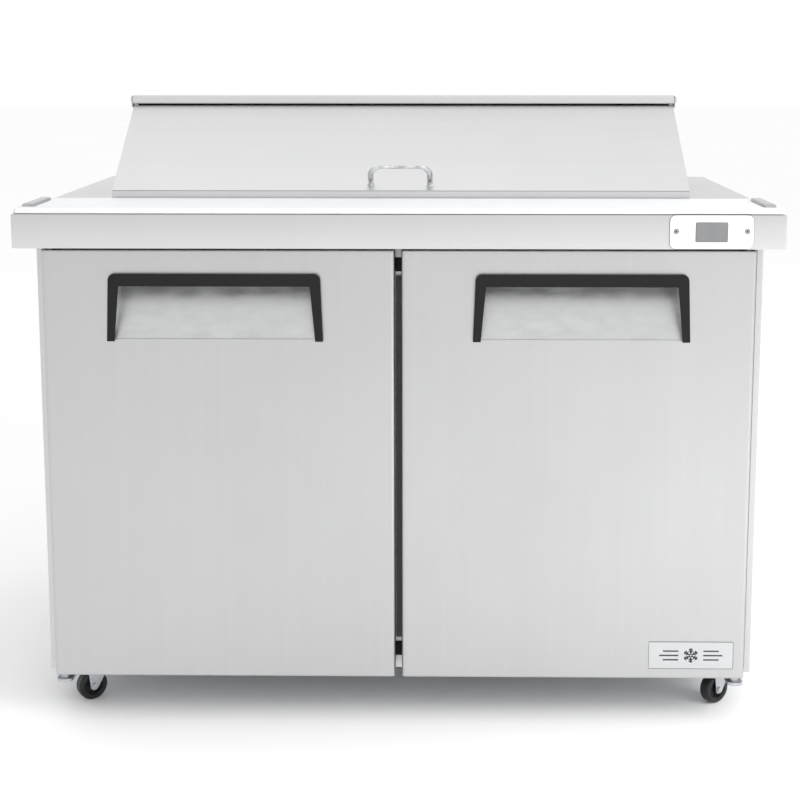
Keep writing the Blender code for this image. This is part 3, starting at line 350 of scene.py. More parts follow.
FINISHES = {  # name: (maker, colour, roughness, what else the maker takes)
    # the slots of the frame
    "steel": (brushed, (0.65, 0.652, 0.655), 0.36, {"axis": "X"}),
    "satin_steel": (mottled, (0.63, 0.635, 0.64), 0.42, {}),
    "steel_inner": (brushed, (0.66, 0.66, 0.66), 0.27, {"axis": "X"}),
    "chrome": (polished, (0.70, 0.71, 0.72), 0.10, {}),
    "zinc": (plated, (0.55, 0.57, 0.60), 0.34, {}),
    "aluminium": (stucco, (0.75, 0.76, 0.77), 0.34, {}),
    "coil_paint": (painted, (0.030, 0.030, 0.032), 0.50, {}),
    "compressor_paint": (painted, (0.018, 0.018, 0.020), 0.38, {}),
    "white_plastic": (cutting_plastic, (0.745, 0.75, 0.765), 0.52, {}),
    "control_white": (moulded, (0.90, 0.90, 0.90), 0.42, {"worn": (0.80, 0.80, 0.79)}),
    "copper": (plated, (0.72, 0.43, 0.30), 0.30, {}),
    "liner_plastic": (moulded, (0.58, 0.59, 0.59), 0.45, {"worn": (0.54, 0.54, 0.54)}),
    "foam": (foamed, (0.82, 0.72, 0.47), 0.90, {}),
    "black_plastic": (moulded, (0.009, 0.009, 0.010), 0.40, {"worn": (0.03, 0.03, 0.03), "sheen": 0.22}),
    "grey_plastic": (moulded, (0.20, 0.20, 0.21), 0.50, {"worn": (0.30, 0.30, 0.31)}),
    "gasket_rubber": (moulded, (0.28, 0.285, 0.29), 0.68, {"grain": 500.0, "depth": 0.00004}),
    "wheel_rubber": (moulded, (0.010, 0.010, 0.012), 0.36, {
        "grain": 650.0, "depth": 0.00003, "worn": (0.04, 0.04, 0.04), "sheen": 0.4,
    }),
    "display": (glazed, (0.19, 0.195, 0.20), 0.22, {}),
    # the same slots on other pieces, with their grain or tone turned to suit the piece
    "steel_upright": (brushed, (0.60, 0.602, 0.605), 0.38, {"axis": "Z"}),
    "door_steel": (brushed, (0.548, 0.55, 0.553), 0.38, {"axis": "Z", "rolled": 0.0035}),
    # the worktop's steel, with painted light on its skirt
    "steel_skirt_painted_light": (brushed, (0.61, 0.612, 0.615), 0.36, {"axis": "X", "skirt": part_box("worktop")}),
    "bracket_steel": (mottled, (0.50, 0.505, 0.51), 0.34, {}),
    # a dark metal that paints the shade in the lid's fold
    "crease_painted_shade": (plated, (0.26, 0.265, 0.27), 0.30, {}),
    "badge_metal": (brushed, (0.60, 0.61, 0.62), 0.24, {"axis": "X", "depth": 0.000018}),
    "badge_ink": (painted, (0.02, 0.02, 0.022), 0.40, {}),
    "fin_metal": (brushed, (0.72, 0.73, 0.74), 0.40, {"axis": "Z"}),
    "shelf_coat": (moulded, (0.84, 0.85, 0.85), 0.38, {"grain": 300.0, "depth": 0.00005}),
    # a near-black that paints the shade in recesses and openings
    "recess_painted_shade": (moulded, (0.03, 0.03, 0.03), 0.60, {}),
}
MATERIALS = {}


def finish_of(key):
    """The material of that name, made when it is first asked for."""
    if key not in MATERIALS:
        maker, colour, roughness, options = FINISHES[key]
        MATERIALS[key] = maker(key, colour, roughness, **options)
    return MATERIALS[key]


# ---------------------------------------- pieces
def placed(name, data):
    """A new object in the scene."""
    obj = bpy.data.objects.new(name, data)
    bpy.context.scene.collection.objects.link(obj)
    return obj


def mesh_from(bm, name):
    """Turns a bmesh into a mesh and frees it."""
    mesh = bpy.data.meshes.new(name)
    bm.to_mesh(mesh)
    bm.free()
    return mesh


def bevel(bm, edges, width, segments, clamp=False):
    """Rounds edges over."""
    bmesh.ops.bevel(
        bm, geom=edges, offset=width, segments=segments, profile=0.5, affect="EDGES", clamp_overlap=clamp
    )


def piece(name, bm, slot, body, finish=None, replaces=(), smooth=35.0, place=None):
    """Turns a mesh into a piece that rides on a body and takes its finish from a slot."""
    bmesh.ops.recalc_face_normals(bm, faces=bm.faces)
    if place is not None:
        bmesh.ops.transform(bm, matrix=place, verts=bm.verts)
    mesh = mesh_from(bm, name)
    mesh.shade_smooth()
    mesh.set_sharp_from_angle(angle=math.radians(smooth))
    mesh.materials.append(finish_of(finish or slot))
    obj = placed(name, mesh)
    flats = obj.modifiers.new("flat_faces_stay_flat", "WEIGHTED_NORMAL")
    flats.weight = 100  # large faces outweigh the narrow ones along their edges
    flats.keep_sharp = True
    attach(obj, body)
    if replaces:
        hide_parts(*replaces)


def body_of(node):
    """The body that carries a CAD node."""
    return next(body for body, nodes in frame["record"]["behaviour"]["bodies"].items() if node in nodes)


def slot_of(node):
    """The material slot of a CAD node."""
    return next(s["material_slot"] for s in frame["record"]["subparts"] if s["node"] == node)


def centre_of(node):
    low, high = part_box(node)
    return (low + high) / 2


def face_of(node):
    """The middle and the half sizes of a node's box, in X and Z."""
    low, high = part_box(node)
    return ((low.x + high.x) / 2, (low.z + high.z) / 2), ((high.x - low.x) / 2, (high.z - low.z) / 2)


def grown(half, by):
    """Half sizes, larger all round."""
    return half[0] + by, half[1] + by


def box_mesh(low, high, round_by=0.0, segments=3):
    """A box between two corners, its edges rounded where that is asked for."""
    bm = bmesh.new()
    bmesh.ops.create_cube(bm, size=1.0)
    low, high = Vector(low), Vector(high)
    for vert in bm.verts:
        vert.co = (low + high) / 2 + Vector(a * b for a, b in zip(vert.co, high - low))
    if round_by:
        bevel(bm, bm.edges, round_by, segments)
    return bm


def add_to(target, other, place=None):
    """Adds the other mesh to the target and frees it."""
    if place is not None:
        bmesh.ops.transform(other, matrix=place, verts=other.verts)
    mesh = mesh_from(other, "part")
    target.from_mesh(mesh)
    bpy.data.meshes.remove(mesh)


def turned_mesh(profile, segments):
    """Spins a profile of (radius, height) points about Z into a closed body."""
    bm = bmesh.new()
    rings = []
    for radius, height in profile:
        if radius == 0:
            rings.append([bm.verts.new((0, 0, height))])
            continue
        angles = [2 * math.pi * i / segments for i in range(segments)]
        rings.append([bm.verts.new((radius * math.cos(a), radius * math.sin(a), height)) for a in angles])
    closed = len(rings[0]) > 1 and len(rings[-1]) > 1
    pairs = list(zip(rings, rings[1:])) + ([(rings[-1], rings[0])] if closed else [])
    for lower, upper in pairs:
        for i in range(segments):
            j = (i + 1) % segments
            corners = [lower[k % len(lower)] for k in (i, j)] + [upper[k % len(upper)] for k in (j, i)]
            bm.faces.new(list(dict.fromkeys(corners)))
    return bm


def tube_mesh(points, radius, sides, closed=False):
    """A round tube along points; radius is a number or one number for each point."""
    points = [Vector(p) for p in points]
    count = len(points)
    radii = radius if isinstance(radius, list) else [radius] * count
    bm = bmesh.new()
    rings = []
    across = None
    for i, point in enumerate(points):
        after = points[(i + 1) % count] if closed or i + 1 < count else point
        before = points[i - 1] if closed or i > 0 else point
        along = (after - before).normalized()
        if across is None:
            across = along.orthogonal().normalized()
        across = (across - along * across.dot(along)).normalized()
        side = along.cross(across)
        angles = [2 * math.pi * k / sides for k in range(sides)]
        rings.append([
            bm.verts.new(point + (across * math.cos(a) + side * math.sin(a)) * radii[i]) for a in angles
        ])
    pairs = list(zip(rings, rings[1:])) + ([(rings[-1], rings[0])] if closed else [])
    for one, two in pairs:
        for k in range(sides):
            n = (k + 1) % sides
            bm.faces.new((one[k], one[n], two[n], two[k]))
    if not closed:
        bm.faces.new(rings[0][::-1])
        bm.faces.new(rings[-1])
    return bm


# the four corners of an outline: their sides, and the degrees where their arcs start
QUARTERS = ((1, 1, 0), (-1, 1, 90), (-1, -1, 180), (1, -1, 270))


def arc(centre, radius, start, end, steps, second="Z"):
    """Points on an arc in the plane of X and a second axis, from start to end degrees."""
    points = []
    for i in range(steps + 1):
        a = math.radians(start + (end - start) * i / steps)
        point = Vector(centre)
        point.x += radius * math.cos(a)
        point["XYZ".index(second)] += radius * math.sin(a)
        points.append(point)
    return points


SAME_POINT = 1e-6
FLAT_ANGLE, SHARP_ANGLE = math.radians(0.5), math.radians(40)


def refined(node, width, finish=None):
    """Stands for a CAD node with the same shape and its sharp edges rounded over."""
    bm = bmesh.new()
    bm.from_mesh(frame["nodes"][node].data)
    bmesh.ops.remove_doubles(bm, verts=bm.verts, dist=SAME_POINT)
    bmesh.ops.dissolve_limit(bm, angle_limit=FLAT_ANGLE, verts=bm.verts, edges=bm.edges)
    bmesh.ops.connect_verts_concave(bm, faces=bm.faces)  # so no face spans an opening it runs round
    if width:
        edges = [e for e in bm.edges if len(e.link_faces) == 2 and e.calc_face_angle(0.0) > SHARP_ANGLE]
        bevel(bm, edges, width, 2, clamp=True)
    piece(node + "_finished", bm, slot_of(node), body_of(node), finish, (node,))


# ---------------------------------------- screws
def cross_recess_head(radius, height):
    """A pan head with a cross cut into it, its seat at z = 0 and facing +Z."""
    rim = height * 0.35
    dome = [(0.0, height)]
    for i in range(1, 7):
        turn = math.radians(15 * i)
        dome.append((radius * math.sin(turn), rim + (height - rim) * math.cos(turn)))
    dome += [(radius, 0.0), (0.0, 0.0)]
    head = placed("head", mesh_from(turned_mesh(dome[::-1], 20), "head"))
    arm, reach, deep = radius * 0.17, radius * 0.68, height * 0.25
    slot = mesh_from(box_mesh((-reach, -arm, deep), (reach, arm, height * 2)), "cross")
    cutters = []
    for turn in (0, 90):
        cutter = placed("cross", slot)
        cutter.matrix_world = Matrix.Rotation(math.radians(turn), 4, "Z")
        cutters.append(cutter)
        cut = head.modifiers.new("cross", "BOOLEAN")
        cut.operation = "DIFFERENCE"
        cut.object = cutter
    bpy.context.view_layer.update()
    shape = bpy.data.meshes.new_from_object(head.evaluated_get(bpy.context.evaluated_depsgraph_get()))
    for helper in [head, *cutters]:
        bpy.data.objects.remove(helper)
    return shape


HEADS = {}  # head shapes already made, by (radius, height)
SHEET_SCREW, GRILLE_SCREW = (0.0042, 0.0022), (0.0038, 0.0020)  # head radius and height
PLATE_SCREW, PIVOT_NUT = (0.0034, 0.0009), (0.0055, 0.0030)


def screw_turn(index):
    """How far the screw of that number is turned, so that no two neighbours look alike."""
    return Matrix.Rotation(math.radians((index * 37) % 90), 4, "Z")


def screws(name, places, facing, size):
    """One piece that holds a set of like screw heads on the cabinet."""
    if size not in HEADS:
        HEADS[size] = cross_recess_head(*size)
    bm = bmesh.new()
    for index, place in enumerate(places):
        one = bmesh.new()
        one.from_mesh(HEADS[size])
        add_to(bm, one, Matrix.Translation(place) @ facing @ screw_turn(index))
    piece(name, bm, "zinc", "cabinet")


# ---------------------------------------- sheet metal
SIDES = ("left", "right")
CORNERS = ("front_left", "front_right", "rear_left", "rear_right")
ROUNDED = {  # CAD node, or one with %s for its left and right: (edge radius, finish or None for its slot's)
    "worktop": (0.0004, "steel_skirt_painted_light"),
    "hood_cover": (0.0004, None),
    "lid_panel": (0.0004, None),
    "lid_hinge_bar": (0.0008, None),
    "lid_liner": (0.0020, None),
    "door_%s_panel": (0.0006, "door_steel"),
    "door_%s_liner": (0.0010, None),
    "door_%s_handle_pocket": (0.0004, None),
    "door_%s_handle_trim": (0.0010, None),
    "side_panel_%s": (0.0004, "steel_upright"),
    "back_panel": (0.0004, "steel_upright"),
    "front_frame": (0.0003, "steel_upright"),
    "center_mullion": (0.0003, "steel_upright"),
    "base_pan": (0.0003, None),
    "board_bracket_%s": (0.0006, "bracket_steel"),
    "hinge_bracket_lower_%s": (0.0006, None),
    "hinge_bracket_upper_%s": (0.0006, None),
    "cutting_board": (0.0012, None),
    "controller_box": (0.0010, None),
    "compressor": (0.0010, None),
    "cord_gland": (0.0004, None),
    "discharge_pipe": (0.0, None),
    "hinge_rod": (0.0004, None),
    "pan_rail": (0.0004, None),
    "condenser_fan": (0.0003, None),
    "evaporator_fan": (0.0003, None),
}


def finish_cad_nodes():
    """Gives every CAD node its finish, and rounds the edges of those that show."""
    for name, obj in frame["nodes"].items():
        material = finish_of(slot_of(name))
        for index in range(len(obj.material_slots)):
            obj.material_slots[index].material = material
    for name, (width, finish) in ROUNDED.items():
        for node in [name % side for side in SIDES] if "%s" in name else [name]:
            refined(node, width, finish)
    for index in range(1, 6):
        refined("food_pan_%d" % index, 0.0004)
    for corner in CORNERS:
        refined("caster_fork_" + corner, 0.0004)


# ---------------------------------------- lid and controls
LID_SLOPE = math.radians(33)
HANDLE_STOCK = 0.004  # radius of the frame's plain handle
HANDLE_BEND, BEND_STEPS = 0.017, 8
HANDLE_FOOT, HANDLE_SHOULDER, HANDLE_TAPER = 0.0046, 0.0050, 0.0024  # radii, and what the bar loses of them


def make_lid_handle():
    """A chrome bow: round feet, stout shoulders and a slimmer bar between them."""
    low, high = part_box("lid_handle")
    ahead, above = HANDLE_STOCK * math.cos(LID_SLOPE), HANDLE_STOCK * math.sin(LID_SLOPE)
    foot = Vector((0, high.y - ahead, low.z + above))
    top = Vector((0, low.y + HANDLE_STOCK, high.z - HANDLE_STOCK))
    rise = (top - foot).length
    lift = (top - foot).normalized()
    half = high.x - HANDLE_STOCK
    side = [(-half, -0.001), (-half, (rise - HANDLE_BEND) * 0.5)]
    radii = [HANDLE_FOOT, HANDLE_SHOULDER]
    for i in range(BEND_STEPS + 1):
        part = i / BEND_STEPS
        turn = math.radians(90 * part)
        inward, upward = HANDLE_BEND * (1 - math.cos(turn)), HANDLE_BEND * math.sin(turn)
        side.append((-half + inward, rise - HANDLE_BEND + upward))
        radii.append(HANDLE_SHOULDER - HANDLE_TAPER * part ** 2)
    route = side + [(-x, up) for x, up in side[::-1]]
    points = [foot + Vector((x, 0, 0)) + lift * up for x, up in route]
    bm = tube_mesh(points, radii + radii[::-1], 16)
    facing = lift.to_track_quat("Z", "Y").to_matrix().to_4x4()
    for x in (-half, half):
        collar = turned_mesh([(0, 0), (0.0062, 0), (0.0062, 0.0008), (0.0052, 0.0016), (0, 0.0016)], 28)
        add_to(bm, collar, Matrix.Translation(foot + Vector((x, 0, 0)) - lift * 0.0005) @ facing)
    piece("lid_handle_bow", bm, "chrome", "lid", replaces=("lid_handle",))


def make_lid_fold_shade():
    """A dark strip along the fold where the lid's slope turns down into its hem: painted shade of the fold.
    """
    low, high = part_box("lid_panel")
    fold = max(v.co.z for v in frame["nodes"]["lid_panel"].data.vertices if v.co.y < low.y + 0.0005)
    inset, proud, sunk = 0.001, 0.0001, 0.0004
    line = box_mesh(
        (low.x + inset, low.y - proud, fold - 0.0015), (high.x - inset, low.y + sunk, fold - 0.0006)
    )
    # the dark strip is painted shade in the fold
    piece("lid_hem_fold_shade", line, "steel", "lid", "crease_painted_shade")


def rounded_slab(middle, half, radius, low_y, high_y, edge):
    """A plate in X and Z with round corners, its front edge rounded over; low_y is its front."""
    outline = []
    for x_side, z_side, start in QUARTERS:
        centre = (middle[0] + x_side * (half[0] - radius), 0, middle[1] + z_side * (half[1] - radius))
        outline += arc(centre, radius, start, start + 90, 8)
    bm = bmesh.new()
    face = bm.faces.new([bm.verts.new((p.x, high_y, p.z)) for p in outline])
    made = bmesh.ops.extrude_face_region(bm, geom=[face])
    front = [item for item in made["geom"] if isinstance(item, bmesh.types.BMVert)]
    bmesh.ops.translate(bm, vec=(0, low_y - high_y, 0), verts=front)
    bevel(bm, [e for e in bm.edges if all(v in front for v in e.verts)], edge, 3)
    return bm


def make_controls():
    """The white plate with a grey rim behind it as painted shadow round its edge, its tinted window in a
    bezel, and two cross-head screws.
    """
    middle, half = face_of("control_plate")
    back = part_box("control_plate")[1].y
    face = back - 0.0013
    plate = rounded_slab(middle, half, 0.009, face, back, 0.0006)
    piece("control_plate_moulding", plate, "control_white", "cabinet", replaces=("control_plate",))
    # a grey rim a little larger than the plate: painted contact shadow round its edge
    shade_rim = rounded_slab(middle, grown(half, 0.0008), 0.0098, face + 0.0004, back, 0.0001)
    piece("control_plate_shade_rim", shade_rim, "grey_plastic", "cabinet")
    glass_middle, glass_half = face_of("display_window")
    around = grown(glass_half, 0.0012)
    bezel = rounded_slab(glass_middle, around, 0.0022, face - 0.0003, face + 0.0002, 0.0001)
    piece("display_bezel", bezel, "grey_plastic", "cabinet")
    glass = rounded_slab(glass_middle, glass_half, 0.0015, face - 0.0007, face, 0.0003)
    piece("display_glass", glass, "display", "cabinet", replaces=("display_window",))
    spread = half[0] - 0.0097
    make_control_screws([(middle[0] + side * spread, face + 0.0002, middle[1] + 0.0012) for side in (-1, 1)])


def make_control_screws(places):
    """The plate's two screws: each a head on a dark disc that paints the shade of its seat, and a dark cross
    that paints the shade in the head's recess.
    """
    seat, arm, wide = 0.0043, 0.0021, 0.0005
    seat_shades, cross_shades = bmesh.new(), bmesh.new()
    for index, place in enumerate(places):
        at = Matrix.Translation(place) @ FRONT
        add_to(seat_shades, turned_mesh([(0.0, 0.0), (seat, 0.0), (seat, 0.0002), (0.0, 0.0002)], 24), at)
        for quarter in (0, 90):
            spin = screw_turn(index) @ Matrix.Rotation(math.radians(quarter), 4, "Z")
            add_to(cross_shades, box_mesh((-arm, -wide, 0.0001), (arm, wide, 0.0004)), at @ spin)
    # dark discs and crosses: painted shade in each screw's seat and recess
    piece("control_plate_screw_seat_shades", seat_shades, "zinc", "cabinet", "recess_painted_shade")
    screws("control_plate_screws", places, FRONT, PLATE_SCREW)
    piece("control_plate_screw_recess_shades", cross_shades, "zinc", "cabinet", "recess_painted_shade")


def make_badge():
    """A bevelled plate over a grey slab that shows below and to its right as a painted shadow, with a plain
    snowflake between ruled lines.
    """
    low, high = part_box("badge_plate")
    middle, half = face_of("badge_plate")
    plate = rounded_slab(middle, half, 0.0012, low.y, high.y, 0.0009)
    piece("badge_metal_plate", plate, "aluminium", "door_right", "badge_metal", ("badge_plate",))
    shadow_shift = 0.0004  # the grey slab shows a little more below and to the right: a painted shadow
    shadow_slab = rounded_slab(
        (middle[0] + shadow_shift, middle[1] - shadow_shift), grown(half, 0.0006), 0.0014, high.y - 0.0006, high.y, 0.0001
    )
    piece("badge_painted_shadow", shadow_slab, "grey_plastic", "door_right")
    bm = bmesh.new()
    front, sunk = low.y - 0.0004, low.y + 0.0002  # the print's depth on the plate's face
    add_snowflake(bm, middle, front, sunk)
    add_ruled_lines(bm, middle, front, sunk)
    piece("badge_snowflake", bm, "black_plastic", "door_right", "badge_ink")


def add_snowflake(bm, middle, front, sunk):
    """Six arms about the middle, each with two pairs of twigs."""
    arm, wide = 0.0125, 0.0011
    centre = Matrix.Translation((middle[0], 0, middle[1]))
    for index in range(6):
        turn = centre @ Matrix.Rotation(math.radians(60 * index), 4, "Y")
        add_to(bm, box_mesh((-wide, front, 0.0014), (wide, sunk, arm)), turn)
        for reach in (0.0055, 0.0088):
            for side in (-1, 1):
                twig = box_mesh((-wide * 0.8, front, 0), (wide * 0.8, sunk, arm * 0.30))
                lean = Matrix.Translation((0, 0, reach)) @ Matrix.Rotation(math.radians(side * 58), 4, "Y")
                add_to(bm, twig, turn @ lean)


def add_ruled_lines(bm, middle, front, sunk):
    """Three lines on each side of the middle, the outer two shorter."""
    start, end, shorter = 0.0205, 0.0520, 0.006
    pitch, half_wide = 0.0075, 0.0012
    for side in (-1, 1):
        for row in (-1, 0, 1):
            near, far = sorted((middle[0] + side * start, middle[0] + side * (end - shorter * abs(row))))
            z = middle[1] + row * pitch
            add_to(bm, box_mesh((near, front, z - half_wide), (far, sunk, z + half_wide), 0.0002, 2))


# ---------------------------------------- doorway, gaskets and shelves
def make_doorway_shade():
    """Black caps over the mullion's two ends, and a dark grey strip down its face between them: painted shade
    of the gap between the doors.
    """
    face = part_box("front_frame")[0].y
    mullion_low, mullion_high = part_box("center_mullion")
    proud, gap, inset = 0.0016, 0.0002, 0.001
    cap_half, nose_half, strip_half = 0.0125, 0.0046, 0.0050
    for label, low, high in (
        ("upper", mullion_high.z + 0.006, mullion_high.z + 0.029),
        ("lower", mullion_low.z - 0.032, mullion_low.z - 0.007),
    ):
        # black caps: painted shade at the mullion's ends
        end_shade = box_mesh((-cap_half, face - proud, low), (cap_half, face - gap, high), 0.0005)
        nose_low = (-nose_half, face - 0.0040, low + inset)
        nose_high = (nose_half, face - 0.0010, high - inset)
        add_to(end_shade, box_mesh(nose_low, nose_high, 0.0008))
        piece("mullion_end_shade_" + label, end_shade, "black_plastic", "cabinet")
    # a dark grey strip on the mullion's face: painted shade of the gap
    strip_low = (-strip_half, face - 0.0012, mullion_low.z + inset)
    strip_high = (strip_half, face - gap, mullion_high.z - inset)
    piece("mullion_gap_shade_strip", box_mesh(strip_low, strip_high, 0.0004), "grey_plastic", "cabinet")


def mitred_frame(middle, half, profile):
    """Runs a profile round a rectangle in X and Z. A profile point is (inset from the rectangle, y)."""
    bm = bmesh.new()
    loops = []
    for inset, y in profile:
        loops.append([
            bm.verts.new((middle[0] + sx * (half[0] - inset), y, middle[1] + sz * (half[1] - inset)))
            for sx, sz in ((-1, -1), (1, -1), (1, 1), (-1, 1))
        ])
    for one, two in zip(loops, loops[1:] + loops[:1]):
        for k in range(4):
            n = (k + 1) % 4
            bm.faces.new((one[k], one[n], two[n], two[k]))
    return bm


GASKET_PROFILE = (  # (inset, part of the depth towards the cabinet)
    (0.0000, 0.10), (0.0012, 0.72), (0.0026, 1.00), (0.0085, 1.00),  # the sealing rib
    (0.0095, 0.80), (0.0104, 0.45), (0.0116, 0.82), (0.0128, 0.85),  # the first fold
    (0.0138, 0.50), (0.0150, 0.70), (0.0160, 0.20),  # the second
    (0.0160, 0.00), (0.0000, 0.00),
)


def make_gaskets():
    """Magnetic gaskets: a flat sealing rib with two bellows folds beside it."""
    for label in SIDES:
        node = "door_%s_gasket" % label
        low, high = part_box(node)
        deep = high.y - low.y
        profile = [(inset, low.y + deep * part) for inset, part in GASKET_PROFILE]
        gasket = mitred_frame(*face_of(node), profile)
        piece(node + "_profile", gasket, "gasket_rubber", "door_" + label, replaces=(node,), smooth=50)


SHELF_CORNER, SHELF_WIRES = 0.014, 34


def make_shelves():
    """Coated wire shelves: a bent rim, three cross bars and front-to-back wires on top."""
    for node in ("shelf_left", "shelf_right"):
        low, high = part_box(node)
        thick = (high.z - low.z) / 2
        rim, wire = thick * 0.80, thick * 0.42
        rim_z = high.z - rim - wire * 0.9
        loop = []
        for x_side, y_side, start in QUARTERS:
            x = (high.x if x_side > 0 else low.x) - x_side * (rim + SHELF_CORNER)
            y = (high.y if y_side > 0 else low.y) - y_side * (rim + SHELF_CORNER)
            loop += arc((x, y, rim_z), SHELF_CORNER, start, start + 90, 6, "Y")
        bm = tube_mesh(loop, rim, 12, closed=True)
        for part in (0.22, 0.5, 0.78):
            y = low.y + (high.y - low.y) * part
            add_to(bm, tube_mesh([(low.x + rim, y, rim_z), (high.x - rim, y, rim_z)], rim * 0.8, 10))
        front, back = low.y + rim * 0.6, high.y - rim * 0.6
        top, end_z, slant = high.z - wire, high.z - wire * 2.4, 0.003
        for index in range(1, SHELF_WIRES):
            x = low.x + (high.x - low.x) * index / SHELF_WIRES
            route = [(x, front, end_z), (x, front + slant, top), (x, back - slant, top), (x, back, end_z)]
            add_to(bm, tube_mesh(route, wire, 8))
        piece(node + "_wires", bm, "white_plastic", "cabinet", "shelf_coat", (node,))


POST_TOP, POST_HALF_WIDTH = 0.740, 0.008
POST_AT_WALL, POST_IN_MIDDLE = 0.0011, 0.0060  # half the thickness of a post
POST_SLOTS, SLOT_PITCH = 22, 0.025


def make_shelf_posts():
    """Slotted posts with clips that carry the shelves at the cavity's sides and middle; each slot is a dark
    strip on a post's face, painted shade of its opening.
    """
    shelf_low, shelf_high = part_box("shelf_left")
    liner_low, liner_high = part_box("cabinet_liner")
    at_wall = liner_high.x - 0.0030
    floor = liner_low.z + 0.0020
    rows = (shelf_low.y + 0.030, shelf_high.y - 0.030)
    posts, slot_shades, clips = bmesh.new(), bmesh.new(), bmesh.new()
    for x, y in [(x, y) for x in (-at_wall, at_wall, 0.0) for y in rows]:
        half, reach = (POST_AT_WALL, 0.012) if x else (POST_IN_MIDDLE, 0.034)
        open_sides = [side for side in (-1, 1) if side * x <= 0]  # a wall post is open on its inner side only
        low, high = (x - half, y - POST_HALF_WIDTH, floor), (x + half, y + POST_HALF_WIDTH, POST_TOP)
        add_to(posts, box_mesh(low, high, 0.0004, 1))
        # each slot is a dark strip on the post's face: painted shade of the opening
        for index in range(POST_SLOTS):
            z = floor + 0.04 + index * SLOT_PITCH
            for side in open_sides:
                face = x + side * (half + 0.0001)
                add_to(slot_shades, box_mesh((face - 0.0003, y - 0.003, z), (face + 0.0003, y + 0.003, z + 0.010)))
        for side in open_sides:
            near, far = sorted((x + side * half, x + side * (half + reach)))
            low, high = (near, y - 0.006, shelf_low.z - 0.0045), (far, y + 0.006, shelf_low.z - 0.0003)
            add_to(clips, box_mesh(low, high, 0.0006, 2))
    piece("shelf_posts", posts, "steel_inner", "cabinet")
    piece("shelf_post_slot_shades", slot_shades, "black_plastic", "cabinet", "recess_painted_shade")
    piece("shelf_clips", clips, "zinc", "cabinet")


# ---------------------------------------- cooling
COIL_TUBE = 0.0042  # radius
HALF_FIN, HALF_PLATE, FLANGE = 0.00015, 0.0008, 0.0012  # sheet thicknesses of a coil's fins and casing


def make_coil(node, along, finish, slot, pitch, tube_gap):
    """A finned coil inside the node's box: thin plates along one axis, tubes through them, and U-bends."""
    low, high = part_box(node)
    a = "XYZ".index(along)
    across = 1 - a  # the level axis that the air crosses
    bend = tube_gap / 2
    inner_low, inner_high = low[a] + bend + COIL_TUBE + 0.003, high[a] - bend - COIL_TUBE - 0.003

    def corner(axis_value, across_value, z):
        point = Vector((0, 0, z))
        point[a] = axis_value
        point[across] = across_value
        return point

    def slab(start, end, inset, bottom, top, *rounding):
        return box_mesh(
            corner(start, low[across] + inset, bottom), corner(end, high[across] - inset, top), *rounding
        )

    fins, casing, tubes = bmesh.new(), bmesh.new(), bmesh.new()
    count = int((inner_high - inner_low) / pitch)
    for index in range(1, count):
        at = inner_low + (inner_high - inner_low) * index / count
        add_to(fins, slab(at - HALF_FIN, at + HALF_FIN, 0.002, low.z + 0.003, high.z - 0.003))
    for at in (inner_low, inner_high):
        add_to(casing, slab(at - HALF_PLATE, at + HALF_PLATE, 0.0, low.z, high.z, 0.0003, 1))
    for z in (low.z, high.z - FLANGE):
        add_to(casing, slab(inner_low, inner_high, 0.0, z, z + FLANGE, 0.0003, 1))
    rows = int((high.z - low.z - 0.02) / tube_gap)
    first = (low.z + high.z) / 2 - tube_gap * (rows - 1) / 2
    for column in (0.3, 0.7):
        y = low[across] + (high[across] - low[across]) * column
        route = []
        for row in range(rows):
            z = first + row * tube_gap
            start, end, outward = (inner_low, inner_high, 1) if row % 2 == 0 else (inner_high, inner_low, -1)
            route += [corner(start, y, z), corner(end, y, z)]
            if row + 1 < rows:
                for step in range(1, 6):
                    turn = math.radians(-90 + 30 * step)
                    out, up = bend * math.cos(turn), bend + bend * math.sin(turn)
                    route.append(corner(end + outward * out, y, z + up))
        add_to(tubes, tube_mesh(route, COIL_TUBE, 10))
    piece(node + "_fins", fins, slot, "cabinet", finish, (node,))
    piece(node + "_casing", casing, "zinc", "cabinet")
    piece(node + "_tubes", tubes, slot, "cabinet", finish)


GUARD_RINGS, GUARD_INNER, GUARD_WIRE = 8, 0.016, 0.0011  # how many rings, the smallest's radius, the wire's
GUARD_GAP = 0.0035  # between the guard and the fan


def make_fan_guard(node, along, coil):
    """Wire rings and spokes before a fan, on four legs that reach the coil's face."""
    low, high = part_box(node)
    a = "XYZ".index(along)
    place = centre_of(node)
    place[a] = low[a] - GUARD_GAP
    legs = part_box(coil)[0][a] - place[a]
    reach = max(high - low) / 2 + 0.006
    bm = bmesh.new()
    for ring in range(GUARD_RINGS):
        radius = GUARD_INNER + (reach - GUARD_INNER) * ring / (GUARD_RINGS - 1)
        circle = arc((0, 0, 0), radius, 0, 351, 39, "Y")  # 40 points, the last one step short of the first
        add_to(bm, tube_mesh(circle, GUARD_WIRE, 6, closed=True))
    for index in range(8):
        t = math.radians(45 * index)
        ends = [(r * math.cos(t), r * math.sin(t), -GUARD_WIRE) for r in (GUARD_INNER - 0.002, reach)]
        add_to(bm, tube_mesh(ends, GUARD_WIRE * 1.2, 6))
    for index in range(4):
        t = math.radians(45 + 90 * index)
        x, y = (reach + GUARD_WIRE) * math.cos(t), (reach + GUARD_WIRE) * math.sin(t)
        add_to(bm, tube_mesh([(x, y, -GUARD_WIRE), (x, y, legs)], 0.0018, 8))
    turn = BACK if along == "Y" else RIGHT
    piece(node + "_guard", bm, "zinc", "cabinet", place=Matrix.Translation(place) @ turn)


